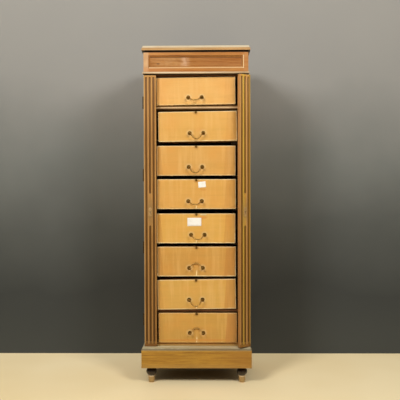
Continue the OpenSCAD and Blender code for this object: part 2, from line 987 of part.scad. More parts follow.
// a half ring hanging on straight ends from two pivots, thicker in the middle
// it is turned out from straight down
module bail(i) {
    grip_angle = 44;
    reach = bail_r - wire_r;
    pivot_end = 0.9 * head_dia / 2;
    color(brass)
        at_box(i)
            translate([pull_shift[i - 1], -flap_t - pivot_out, pull_z + pull_lift[i - 1]])
                rotate([-bail_turn[i - 1], 0, 0]) {
                    translate([0, 0, -bail_leg]) {
                        ring_arc(reach, wire_r, 180);
                        ring_arc(reach, grip_r, 2 * grip_angle);
                    }
                    for (side = [-1, 1]) {
                        translate([side * reach, 0, -bail_leg])
                            cylinder(r = wire_r, h = bail_leg);
                        translate([side * reach, 0, 0])
                            sphere(r = wire_r);
                        translate([side * (reach + (wire_r + pivot_end) / 2), 0, 0])
                            along_x(pivot_r, wire_r + pivot_end);
                    }
                }
}

// an arc of round wire in the plane of x and z, its middle straight down
module ring_arc(radius, wire, angle) {
    rotate([90, 0, 0])
        rotate([0, 0, 270 - angle / 2])
            rotate_extrude(angle = angle)
                translate([radius, 0])
                    circle(r = wire);
}

// ---- nodes ----

side_panel(-1);  // side_panel_left
side_panel(1);  // side_panel_right
back_panel();
head_board();
bottom_board();
bottom_rail();
fixed_shelves();
box_runners();
front_posts();
top_board();
frieze_frame();
frieze_panel();
bead_moulding();
cornice();
plinth();
plinth_moulding();
feet();
stile_hinge_plates();
stile(-1, 0);  // stile_left
stile(1, right_ajar);  // stile_right
stile_hinge_leaves(-1, 0);  // stile_hinge_leaves_left
stile_hinge_leaves(1, right_ajar);  // stile_hinge_leaves_right
lock(-1, 0);  // lock_left
lock(1, right_ajar);  // lock_right
escutcheon(-1, 0);  // escutcheon_left
escutcheon(1, right_ajar);  // escutcheon_right
lock_bolt(-1, 0);  // lock_bolt_left
lock_bolt(1, right_ajar);  // lock_bolt_right
for (i = [1 : box_count]) {
    box_shell(i);
    flap(i);
    flap_brass(i);
    bail(i);
}
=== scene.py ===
"""Lens cabinet: looks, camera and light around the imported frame. Metres, +Z up, the front faces -Y."""
import json
import math

import bmesh
import bpy
from mathutils import Matrix, Vector


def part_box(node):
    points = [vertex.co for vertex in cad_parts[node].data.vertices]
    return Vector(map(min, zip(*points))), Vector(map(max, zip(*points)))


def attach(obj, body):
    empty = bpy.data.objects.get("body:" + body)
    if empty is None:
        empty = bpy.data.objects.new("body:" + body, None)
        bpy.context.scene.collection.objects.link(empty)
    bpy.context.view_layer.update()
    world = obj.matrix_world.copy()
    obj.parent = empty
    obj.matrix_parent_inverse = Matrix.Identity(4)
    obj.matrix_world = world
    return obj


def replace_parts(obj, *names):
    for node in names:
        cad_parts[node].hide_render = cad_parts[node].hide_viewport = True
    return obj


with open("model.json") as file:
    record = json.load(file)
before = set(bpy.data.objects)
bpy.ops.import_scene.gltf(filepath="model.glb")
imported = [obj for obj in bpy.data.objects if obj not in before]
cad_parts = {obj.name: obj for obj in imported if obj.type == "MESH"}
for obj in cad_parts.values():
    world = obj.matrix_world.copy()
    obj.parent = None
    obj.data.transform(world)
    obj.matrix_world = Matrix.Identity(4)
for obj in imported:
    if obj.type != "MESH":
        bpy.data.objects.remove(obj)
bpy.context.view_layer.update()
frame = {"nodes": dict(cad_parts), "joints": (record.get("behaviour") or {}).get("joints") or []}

MM = 0.001
NODES = frame["nodes"]
JOINTS = {joint["name"]: joint for joint in frame["joints"]}
BOXES = range(1, 9)
RIGHT_AJAR = math.radians(-JOINTS["right_stile_hinge"]["range_deg"][0])


# ---- camera, floor and light ----

def new_object(name, data):
    """An object in the scene, at the origin."""
    thing = bpy.data.objects.new(name, data)
    bpy.context.scene.collection.objects.link(thing)
    return thing


def set_camera():
    """Three metres off at chest height, a little to the right, looking almost level."""
    place = (0.0553, -3.0, 0.9465)
    yaw, pitch, roll = -0.0130, -0.0177, -0.0025
    sensor = 36.0
    focal = 580.0 / 400.0  # focal length over the width of the square frame
    ahead = Vector((math.sin(yaw) * math.cos(pitch), math.cos(yaw) * math.cos(pitch), math.sin(pitch)))
    right = Vector((math.cos(yaw), -math.sin(yaw), 0))
    up = right.cross(ahead)
    axes = (right * math.cos(roll) + up * math.sin(roll),
            up * math.cos(roll) - right * math.sin(roll), -ahead)
    data = bpy.data.cameras.new("camera")
    data.sensor_width = sensor
    data.lens = sensor * focal
    data.clip_end = 50
    camera = new_object("camera", data)
    camera.matrix_world = Matrix.Translation(place) @ Matrix(axes).transposed().to_4x4()
    bpy.context.scene.camera = camera


def add(tree, kind, inputs=(), stops=None, **settings):
    """Adds a node with its settings and links.

    inputs is a list in the order of its sockets, or a dict by their names or numbers. An input takes a
    constant, an output, or a node, whose first output is meant. A MapRange's list is a value, the two
    limits between which it varies, and what these become.
    """
    full_name = kind.startswith(("Geometry", "NodeGroup", "Function"))
    node = tree.nodes.new(kind if full_name else "ShaderNode" + kind)
    for key, value in settings.items():
        setattr(node, key, value)
    for key, value in inputs.items() if isinstance(inputs, dict) else enumerate(inputs):
        if isinstance(value, bpy.types.Node):
            value = value.outputs[0]
        if isinstance(value, bpy.types.NodeSocket):
            tree.links.new(value, node.inputs[key])
        else:
            node.inputs[key].default_value = value
    if stops:
        ramp = node.color_ramp
        while len(ramp.elements) < len(stops):
            ramp.elements.new(0.5)
        for element, (place, colour) in zip(ramp.elements, stops):
            element.position = place
            element.color = linear(colour)
    return node


def linear(code):
    """sRGB hex to linear RGBA."""
    parts = [int(code[k:k + 2], 16) / 255 for k in (1, 3, 5)]
    return tuple(p / 12.92 if p <= 0.04045 else ((p + 0.055) / 1.055) ** 2.4 for p in parts) + (1.0,)


def new_material(name):
    """A material with an empty tree."""
    material = bpy.data.materials.new(name)
    material.use_nodes = True
    material.node_tree.nodes.clear()
    return material, material.node_tree


def plane(name, corners, material):
    """A flat piece of the stage."""
    mesh = bpy.data.meshes.new(name)
    mesh.from_pydata(corners, [], [range(len(corners))])
    mesh.materials.append(material)
    thing = new_object(name, mesh)


def set_stage():
    """A pale floor, and a grey wall close behind that only the camera sees, and only from in front."""
    reach = 5
    wall_y = 0.34
    wall_top = 4
    floor_paint, tree = new_material("pale_floor")
    here = add(tree, "TexCoord").outputs["Object"]
    clouds = add(tree, "TexNoise", {"Vector": here, "Scale": 1.5, "Detail": 2.0})
    colour = add(tree, "ValToRGB", [clouds], stops=[(0.35, "#f4ddab"), (0.65, "#fae6b8")])
    diffuse = add(tree, "BsdfDiffuse", {"Color": colour})
    add(tree, "OutputMaterial", {"Surface": diffuse})
    plane("floor", [(-reach, -reach, 0), (reach, -reach, 0), (reach, reach, 0), (-reach, reach, 0)],
          floor_paint)

    wall_paint, tree = new_material("grey_wall")
    here = add(tree, "TexCoord").outputs["Object"]
    height = add(tree, "SeparateXYZ", [here]).outputs["Z"]
    # painted shade: darkest a little above the floor, and lighter upwards
    clouds = add(tree, "TexNoise", {"Vector": here, "Scale": 2.0, "Detail": 3.0})
    level = add(tree, "Math", [clouds, 0.35, height], operation="MULTIPLY_ADD")
    level = add(tree, "MapRange", [level, 0.1, 2.2])
    colour = add(tree, "ValToRGB", [level], stops=[
        (0.05, "#4e504d"), (0.2, "#474947"), (0.38, "#5b5d5a"),
        (0.57, "#797b77"), (0.78, "#9a9893"), (1.0, "#a3a09a")])
    diffuse = add(tree, "BsdfDiffuse", {"Color": colour})
    clear = add(tree, "BsdfTransparent")
    seen = add(tree, "LightPath").outputs["Is Camera Ray"]
    behind = add(tree, "NewGeometry").outputs["Backfacing"]
    shown = add(tree, "Math", [seen, behind], operation="SUBTRACT", use_clamp=True)
    both = add(tree, "MixShader", [shown, clear, diffuse])
    add(tree, "OutputMaterial", {"Surface": both})
    plane("wall", [(-reach, wall_y, 0), (reach, wall_y, 0), (reach, wall_y, wall_top),
                   (-reach, wall_y, wall_top)], wall_paint)


def set_light():
    """Two soft lamps, left and right in front, a weak one behind, and a fill from above."""
    # name, place and size in metres, and power in watts
    for name, place, size, power in (
        ("left_lamp", (-1.5, -2.3, 2.6), 0.8, 56.0),
        ("right_lamp", (1.5, -2.2, 2.55), 0.8, 43.0),
        ("back_lamp", (-0.5, 3.4, 2.2), 1.6, 26.0),
    ):
        data = bpy.data.lights.new(name, "AREA")
        data.size = size
        data.energy = power
        lamp = new_object(name, data)
        lamp.location = place
        aim = Vector((0, 0, 0.95)) - lamp.location
        lamp.rotation_euler = aim.to_track_quat("-Z", "Y").to_euler()
    world = bpy.data.worlds.new("studio")
    world.use_nodes = True
    tree = world.node_tree
    tree.nodes.clear()
    seen = add(tree, "LightPath").outputs["Is Camera Ray"]
    # none of the fill comes from the dark far ends of the room
    up = add(tree, "SeparateXYZ", [add(tree, "TexCoord").outputs["Generated"]]).outputs["Z"]
    strength = add(tree, "MapRange", [up, 0.2, 0.6, 0, 0.37])
    fill = add(tree, "Background", {"Color": linear("#f4f1ea"), "Strength": strength})
    backdrop = add(tree, "Background", {"Color": linear("#b9b7b1"), "Strength": 1.0})
    both = add(tree, "MixShader", [seen, fill, backdrop])
    add(tree, "OutputWorld", {"Surface": both})
    bpy.context.scene.world = world
    bpy.context.scene.view_settings.view_transform = "Standard"


# ---- helpers for pieces ----

def own_box(node, own_frame):
    """Lowest and highest corner of a CAD node in a frame of its own."""
    back = own_frame.inverted()
    corners = [back @ vert.co for vert in NODES[node].data.vertices]
    return [Vector([pick(corner[k] for corner in corners) for k in range(3)]) for pick in (min, max)]


def hand_over(piece, body):
    """Hangs a finished piece on its body."""
    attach(piece, body)
    return piece


def mesh_piece(name, build, material, body):
    """A finished piece from a bmesh that build fills."""
    shape = bmesh.new()
    build(shape)
    bmesh.ops.recalc_face_normals(shape, faces=shape.faces)
    mesh = bpy.data.meshes.new(name)
    shape.to_mesh(mesh)
    shape.free()
    mesh.materials.append(material)
    return hand_over(new_object(name, mesh), body)


def skin(shape, rings):
    """Smooth faces from ring to ring of corners, and a flat one over each end."""
    sides = len(rings[0])
    for one, two in zip(rings, rings[1:]):
        for n in range(sides):
            face = shape.faces.new((one[n], one[(n + 1) % sides], two[(n + 1) % sides], two[n]))
            face.smooth = True
    shape.faces.new(rings[0])
    shape.faces.new(reversed(rings[-1]))


def circle(sides):
    """The angles of a ring's corners."""
    return [2 * math.pi * n / sides for n in range(sides)]


# ---- wood ----

# how much the grain is stretched along the board
GRAIN = {"x": (0.05, 1, 1), "y": (1, 0.05, 1), "z": (1, 1, 0.05)}


def patchy(tree, here, size, low=0.0, high=1.0, least=0.0, most=1.0, detail=3.0):
    """Cloudy patches of about that size in mm, from least between them to most in their middle.

    low and high are the limits of the noise between which it goes from one to the other.
    """
    clouds = add(tree, "TexNoise", {"Vector": here, "Scale": 1 / (size * MM), "Detail": detail})
    return add(tree, "MapRange", [clouds, low, high, least, most])


def round_edges(tree, radius, samples):
    """The normal, rounded off over the edges by a radius in mm, and how far it agrees with the flat one."""
    rounded = add(tree, "Bevel", {"Radius": radius * MM}, samples=samples)
    flat = add(tree, "NewGeometry").outputs["Normal"]
    return rounded, add(tree, "VectorMath", [rounded, flat], operation="DOT_PRODUCT").outputs["Value"]


def wood(name, grain, tones, rough=0.42, coat=0.1, gleam=0.5, figure=16, lines=3, depth=1.0, wear=None,
         place=None, marks=None, seed=0.0):
    """A sawn, planed and finished board.

    grain is the axis along which it runs; tones are its dark, middle and light colours; figure and
    lines are the widths in mm of its broad bands and of its fine streaks; depth is how strongly they
    show; gleam is what is left of the polish's own shine; wear is the colour and width in mm of its
    rubbed edges; place is its own frame, where it has one; marks adds more over it.
    """
    material, tree = new_material(name)
    here = add(tree, "TexCoord").outputs["Object"]
    if place:
        here = add(tree, "Mapping", {"Vector": here, "Location": tuple(place.to_translation()),
                                     "Rotation": tuple(place.to_euler())}, vector_type="TEXTURE").outputs[0]
    moved = add(tree, "Mapping", {"Vector": here, "Location": (seed, seed * 1.7, seed * 0.6),
                                  "Scale": GRAIN[grain]})
    bands = add(tree, "TexNoise", {"Vector": moved, "Scale": 1 / (figure * MM), "Detail": 3.0,
                                   "Roughness": 0.5, "Distortion": 0.5})
    streaks = add(tree, "TexNoise", {"Vector": moved, "Scale": 1 / (lines * MM), "Detail": 3.0,
                                     "Distortion": 0.3})
    # open pores, drawn twice as coarse as they are, so that they show
    pores = add(tree, "TexNoise", {"Vector": moved, "Scale": 1 / (0.9 * MM), "Detail": 2.0})
    streaked = 0.55
    middle = 0.5 + 0.5 * streaked
    spread = 0.34 / depth
    figured = add(tree, "Math", [streaks, streaked, bands], operation="MULTIPLY_ADD")
    figured = add(tree, "MapRange", [figured, middle - spread, middle + spread])
    colour = add(tree, "ValToRGB", [figured], stops=[(0.1, tones[0]), (0.5, tones[1]), (0.9, tones[2])])
    # uneven colour over the whole board
    shade = patchy(tree, here, 143, 0.3, 0.7, least=1 - 0.09 * depth, most=1 + 0.07 * depth)
    colour = add(tree, "MixRGB", [1.0, colour, shade], blend_type="MULTIPLY")
    flecks = add(tree, "MapRange", [pores, 0.60, 0.72, 0, 0.35 * depth])
    colour = add(tree, "MixRGB", [flecks, colour, linear(tones[0])], blend_type="MULTIPLY")
    edge, turned = round_edges(tree, wear[1] if wear else 1.5, 6)
    if wear:
        rub = patchy(tree, here, 22.2)
        worn = add(tree, "MapRange", [turned, 0.995, 0.86])
        worn = add(tree, "Math", [worn, rub], operation="MULTIPLY")
        worn = add(tree, "MapRange", [worn, 0.15, 0.5, 0, 0.85])
        colour = add(tree, "MixRGB", [worn, colour, linear(wear[0])])
    if marks:
        colour = marks(tree, here, colour)
    gloss = add(tree, "MapRange", [bands, 0.3, 0.7, rough - 0.06, rough + 0.08])
    height = add(tree, "Math", [pores, 0.6, streaks], operation="MULTIPLY_ADD")
    relief = add(tree, "Bump", {"Height": height, "Normal": edge, "Strength": 0.25, "Distance": 0.25 * MM})
    finish = add(tree, "BsdfPrincipled", {"Base Color": colour, "Roughness": gloss, "Normal": relief,
                                          "Coat Weight": coat, "Coat Roughness": 0.2, "IOR": 1.5,
                                          "Specular IOR Level": gleam})
    add(tree, "OutputMaterial", {"Surface": finish})
    return material


def put(material, *nodes):
    """Gives CAD nodes their material."""
    for name in nodes:
        for slot in NODES[name].material_slots:
            slot.material = material


def window(tree, value, low, high, soft):
    """1 where a value lies between two limits, with soft ends."""
    rise = add(tree, "MapRange", [value, low - soft / 2, low + soft / 2], interpolation_type="SMOOTHSTEP")
    fall = add(tree, "MapRange", [value, high + soft / 2, high - soft / 2], interpolation_type="SMOOTHSTEP")
    return add(tree, "Math", [rise, fall], operation="MULTIPLY")


def spot(tree, here, centre, half, soft):
    """1 inside an ellipsoid round a point, with a soft rim; half holds its three half sizes in mm."""
    off = add(tree, "VectorMath", [here, centre], operation="SUBTRACT")
    off = add(tree, "VectorMath", [off, tuple(1 / (h * MM) for h in half)], operation="MULTIPLY")
    far = add(tree, "VectorMath", [off], operation="LENGTH").outputs["Value"]
    return add(tree, "MapRange", [far, 1 + soft, 1 - soft], interpolation_type="SMOOTHSTEP")


def stain(tree, colour, tint, strength, *shares):
    """Lays a tint over a colour, as strongly as the product of the shares says."""
    much = shares[0]
    for share in shares[1:]:
        much = add(tree, "Math", [much, share], operation="MULTIPLY")
    much = add(tree, "Math", [much, strength], operation="MULTIPLY", use_clamp=True)
    return add(tree, "MixRGB", [much, colour, linear(tint)])


# the sides that a band is measured from: their axis, and the way inwards
SIDES = {"left": (0, 1), "right": (0, -1), "front": (1, 1), "foot": (2, 1), "top": (2, -1)}
# a depth in mm that is well outside a piece
OUT = -100


def lay(tree, here, colour, box, rows, *shares):
    """Lays tints over a piece in bands, all of them weakened by the shares.

    A row is a tint, its strength, and the bands whose crossing it fills. A band is a side of the piece's
    box, two depths in mm inwards from it, where a minus is outside, and how soft its edges are in mm.
    """
    parts = add(tree, "SeparateXYZ", [here]).outputs
    for tint, strength, *bands in rows:
        inside = []
        for side, near, far, soft in bands:
            axis, inwards = SIDES[side]
            face = (box[0] if inwards > 0 else box[1])[axis]
            limits = sorted((face + inwards * near * MM, face + inwards * far * MM))
            inside.append(window(tree, parts[axis], *limits, soft * MM))
        colour = stain(tree, colour, tint, strength, *inside, *shares)
    return colour


def dress_case():
    """Walnut, French polished long ago: red-brown where sheltered, bleached and rubbed where not."""
    put(wood("polished_walnut_upright", "z", ("#6b4422", "#8f6030", "#a87440"), figure=22, depth=0.75,
             wear=("#b08550", 1.6), marks=post_shade_marks), "side_panel_left", "side_panel_right", "front_posts")
    put(wood("polished_walnut_rail", "x", ("#aa7c36", "#c4954a", "#d0a45a"), wear=("#d0a45a", 1.6), seed=0.4),
        "bottom_rail")
    # the fillet under the cornice is near black as painted shade
    put(wood("shade_black_walnut_fillet", "x", ("#170b05", "#21110a", "#2c180d"), rough=0.6, coat=0.0),
        "top_board")
    put(wood("frieze_walnut", "x", ("#a0602a", "#b37332", "#c2863c"), rough=0.34, coat=0.3,
             wear=("#d3a46c", 1.6), marks=frieze_wear_light_shade, seed=2.1), "frieze_frame")
    put(wood("frieze_panel_walnut", "x", ("#8a5522", "#a97034", "#bd8746"), rough=0.28, coat=0.4,
             figure=10, depth=1.1, marks=panel_sheen_and_shade, seed=4.2), "frieze_panel")
    put(wood("rubbed_walnut_cornice", "x", ("#9e7038", "#b48850", "#c29a62"), rough=0.5, coat=0.0,
             wear=("#d8ba86", 2.0), marks=lip_wear_and_shade, seed=1.3), "cornice")
    put(wood("rubbed_walnut_bead", "x", ("#ad9064", "#cdb38e", "#ddcbab"), rough=0.45,
             wear=("#e4cfa8", 2.0), marks=bead_underside_shade, seed=5.5), "bead_moulding")
    put(wood("plinth_walnut", "x", ("#936518", "#ae7e25", "#be9133"), rough=0.5, figure=9,
             depth=1.1, wear=("#c29a4c", 2.5), marks=plinth_wear_and_shade, seed=7.7), "plinth")
    put(wood("dusty_walnut_moulding", "x", ("#968862", "#b0a47e", "#c0b898"), rough=0.7, coat=0.0,
             wear=("#c2b896", 2.5), marks=ledge_wear_light_shade, seed=3.3), "plinth_moulding")
    turn_feet(wood("turned_walnut_feet", "z", ("#4a3014", "#7a5428", "#946a34"), rough=0.35, coat=0.2,
                   figure=9, marks=foot_wear_and_shade, seed=6.1))
    # the inside is bare oak, dry and dusty
    bare = ("#8a6a3e", "#a98852", "#bb9a62")
    put(wood("bare_oak_level", "x", bare, rough=0.65, coat=0.0, marks=shelf_light_and_shade, wear=("#b8935c", 1.2)),
        "head_board", "fixed_shelves")
    # paler tones are painted light on the bottom board's edge, in the shaded gap under the lowest drop front
    put(wood("bare_oak_floor_light_and_shade", "x", ("#d8ac68", "#e8bc78", "#f0c884"), rough=0.65, coat=0.0,
             marks=floor_underside_shade), "bottom_board")
    put(wood("bare_oak_runners", "y", bare, rough=0.6, coat=0.0, marks=runner_marks), "box_runners")
    put(wood("bare_oak_back", "z", ("#9c7f52", "#b08f5e", "#c0a472"), rough=0.7, coat=0.0,
             marks=back_marks), "back_panel")


def post_shade_marks(tree, here, colour):
    """Painted shade: near black under the bead, and dark on the posts' faces in the joint behind the stiles.
    """
    forward = ("front", OUT, 1.7, 1)
    return lay(tree, here, colour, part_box("front_posts"), (
        # painted shade under the bead, and in the joint behind the stiles
        ("#1c0f06", 0.9, ("top", OUT, 0.2, 3), forward),
        ("#33200e", 0.75, ("left", -10, 480, 4), forward)))


def frieze_wear_light_shade(tree, here, colour):
    """Bleached ends, painted shade along its top under the cornice, and a small bevel round the sunk panel
    with painted shade along its top and left side and painted highlight along its foot and right side.
    """
    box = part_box("frieze_frame")
    colour = lay(tree, here, colour, box, (
        ("#cfa474", 0.9, ("left", OUT, 24, 10)),
        ("#b9824a", 0.6, ("right", OUT, 23, 4))), patchy(tree, here, 45.5, 0.25, 0.6, least=0.5))
    wide = ("left", 25, 488.5, 1)
    tall = ("foot", 17.3, 80.8, 1)
    return lay(tree, here, colour, box, (
        # painted shade under the cornice and on the bevel's upper and left sides; painted highlight on its
        # lower and right sides
        ("#2a1406", 0.85, ("top", OUT, 2.7, 1.5)),
        ("#ca8850", 0.4, ("foot", OUT, 20.3, 4), ("left", -45, 135, 140)),
        ("#4a2a10", 0.45, wide, ("top", 16.2, 19.2, 1.5)),
        ("#dcbc8c", 0.8, wide, ("foot", 17.6, 22.8, 1.5)),
        ("#ecd0a0", 0.8, tall, ("right", 22, 25.7, 1)),
        ("#8a5a30", 0.7, tall, ("left", 23.4, 26.5, 1))))


def panel_sheen_and_shade(tree, here, colour):
    """A painted sheen patch, a small dark knot, painted shade along the upper and right edges, and a painted
    highlight along the foot.
    """
    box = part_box("frieze_panel")
    colour = lay(tree, here, colour, box, (
        # painted sheen
        ("#d9b292", 0.75, ("left", 162, 188, 34)),
        ("#d0a676", 0.25, ("left", 28, 178, 100))),
        patchy(tree, here, 16.67, 0.3, 0.6, least=0.35, detail=2.0))
    colour = lay(tree, here, colour, box, (
        ("#96572a", 0.40, ("right", -72, 228, 250)),
        # painted highlight along the foot, painted shade along the top and the right end
        ("#dcb488", 0.4, ("foot", OUT, 1.3, 2)),
        ("#3a1e0a", 0.62, ("top", OUT, 8.7, 3)),
        ("#7d6a50", 0.5, ("right", OUT, 7.5, 1.5))))
    knot = spot(tree, here, Vector(box[0]) + Vector((44, 0, 17.3)) * MM, (8.5, 20, 2.6), 0.45)
    return stain(tree, colour, "#452810", 0.8, knot)


def lip_wear_and_shade(tree, here, colour):
    """The top edge has lost its polish to dusting and handling, and the foot is near black as painted shade.
    """
    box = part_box("cornice")
    colour = lay(tree, here, colour, box, (
        ("#cfc0a0", 0.95, ("top", 0.5, 11.2, 0.8)),
        ("#c4b088", 0.55, ("top", OUT, 0.5, 0.8))), patchy(tree, here, 55.6, 0.25, 0.55, least=0.7))
    # painted shade under the cornice's overhang
    return lay(tree, here, colour, box, [("#140b05", 0.95, ("foot", OUT, 0.8, 0.8))])


def bead_underside_shade(tree, here, colour):
    """Painted shade darkening its underside."""
    return lay(tree, here, colour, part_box("bead_moulding"), (
        ("#6a4c2e", 0.6, ("foot", OUT, 2.6, 3)),
        ("#0e0704", 0.97, ("foot", OUT, 0.6, 0.8))))


def plinth_wear_and_shade(tree, here, colour):
    """Scuffed and rubbed along its foot, redder to the right, paler at its top, and near black inside as
    painted shade.
    """
    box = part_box("plinth")
    foot = box[0][2]
    height = add(tree, "SeparateXYZ", [here]).outputs["Z"]
    scuff = patchy(tree, here, 33.3, detail=5.0)
    low = add(tree, "MapRange", [height, foot + 25 * MM, foot])
    colour = stain(tree, colour, "#b08c50", 0.9, low, scuff)
    return lay(tree, here, colour, box, (
        ("#a06c28", 0.45, ("right", -132, 118, 200)),
        ("#b8a070", 0.5, ("top", OUT, 3.3, 1)),
        # painted shade inside the plinth
        ("#20160c", 0.9, ("left", 16, 520, 4), ("front", 18.8, 389.8, 2))))


def ledge_wear_light_shade(tree, here, colour):
    """Polish worn through to grey along its upper lip, with a pale line there that is also a painted
    highlight, scratches where things were slid over it, and painted shade along its foot.
    """
    along = add(tree, "Mapping", {"Vector": here, "Scale": (0.15, 1, 1)})
    colour = stain(tree, colour, "#cfc6ac", 0.5, patchy(tree, along, 3.85, 0.55, 0.68, detail=2.0))
    return lay(tree, here, colour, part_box("plinth_moulding"), (
        ("#957a50", 0.5, ("left", 238, 468, 120)),
        # painted highlight along the upper lip, with wear
        ("#efd8a4", 0.8, ("front", 23.3, 29.8, 2)),
        ("#7c6138", 0.4, ("front", 15.8, 22.3, 2)),
        # painted shade along the foot, under the lip
        ("#624a26", 0.7, ("foot", OUT, 4.7, 1.5))))


def foot_wear_and_shade(tree, here, colour):
    """The buns are dark polish, darkened further as painted shade under the plinth, and the rings and toes
    are rubbed down to bare wood.
    """
    return lay(tree, here, colour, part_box("feet"), (
        # dark polish and painted shade on the buns
        ("#1c1006", 0.94, ("foot", 34.5, 200, 2)),
        ("#b8965e", 0.8, ("foot", OUT, 34.5, 2)),
        ("#e6cca0", 0.75, ("foot", 28.5, 34, 1))))


def shelf_light_and_shade(tree, here, colour):
    """The upper shelf's edge is painted shade along its top and foot, with a pale band between that is
    painted light; the lower shelf's and the head board's edges are darker red-brown, and the head board is
    black under the bead as painted shade.
    """
    front = ("front", OUT, 15.9, 10)
    colour = lay(tree, here, colour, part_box("fixed_shelves"), (
        # painted shade at the top and foot of the upper shelf's edge, and painted light between
        ("#8a5e28", 0.8, front, ("top", OUT, 5.9, 1)),
        ("#6e4c28", 0.85, front, ("top", 11.9, 30.4, 1)),
        ("#d2b284", 0.9, front, ("top", 5.9, 11.9, 1)),
        ("#6a3c1e", 0.9, front, ("foot", OUT, 456, 10))))
    front = ("front", OUT, 30.2, 10)
    return lay(tree, here, colour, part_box("head_board"), (
        ("#7c4a2a", 0.9, front, ("foot", OUT, 200, 10)),
        # painted shade under the bead
        ("#140a05", 0.95, front, ("foot", 6.1, 200, 1.5))))


def floor_underside_shade(tree, here, colour):
    """Painted shade: black over its lower part inside the plinth."""
    return lay(tree, here, colour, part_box("bottom_board"), [
        ("#18100a", 0.95, ("front", 7.9, 400, 2), ("foot", OUT, 11, 1))])


def runner_marks(tree, here, colour):
    """Black over their front ends, where the boxes go in and out."""
    return lay(tree, here, colour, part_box("box_runners"), [("#150d06", 0.95, ("front", OUT, 35.2, 30))])


def back_marks(tree, here, colour):
    """Damp has stained the back board upwards from its foot."""
    height = add(tree, "SeparateXYZ", [here]).outputs["Z"]
    cloud = patchy(tree, here, 167, detail=4.0)
    level = add(tree, "Math", [cloud, 0.45, height], operation="MULTIPLY_ADD")
    damp = add(tree, "MapRange", [level, 0.62, 0.40])
    return stain(tree, colour, "#7a5f3a", 0.6, damp)


def turn_feet(polished):
    """Four feet turned in one piece: a toe, a sharp ring, a cove, a full bun and a seat under the plinth."""
    # half outline of a foot, in mm: how far out and how high
    outline = [(12.0, 0.0), (13.4, 0.8), (14.4, 3.0), (15.8, 12.0), (16.3, 20.0), (15.7, 25.5),
               (14.8, 28.2), (16.6, 28.7), (17.9, 29.6), (18.4, 31.0), (18.1, 32.4), (17.0, 33.4),
               (14.6, 34.0), (13.2, 34.9)]
    # the bun: how far out its arc starts, how far that swells out and up, and the height of its middle
    hub, bun_out, bun_up, bun_middle = 8.0, 18.0, 17.6, 52.5
    for k in range(-7, 8):
        a = math.radians(10.5 * k)
        outline.append((hub + bun_out * math.cos(a), bun_middle + bun_up * math.sin(a)))
    outline += [(14.0, 70.6), (17.5, 71.2), (20.2, 72.6), (21.0, 74.5), (21.0, 80.0)]
    low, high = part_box("feet")
    reach = (hub + bun_out) * MM

    def build(shape):
        for x in (low[0] + reach, high[0] - reach):
            for y in (low[1] + reach, high[1] - reach):
                skin(shape, [[shape.verts.new((x + r * MM * math.cos(a), y + r * MM * math.sin(a), z * MM))
                              for a in circle(48)] for r, z in outline])
    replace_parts(mesh_piece("turned_feet", build, polished, "carcass"), "feet")


# ---- stiles ----

def stile_frame(side):
    """A stile's own frame: its origin is on the hinge's pin, and X runs along the stile."""
    turn = RIGHT_AJAR if side == "right" else 0.0
    return Matrix.Translation(JOINTS[side + "_stile_hinge"]["pos_m"]) @ Matrix.Rotation(turn, 4, "Z")


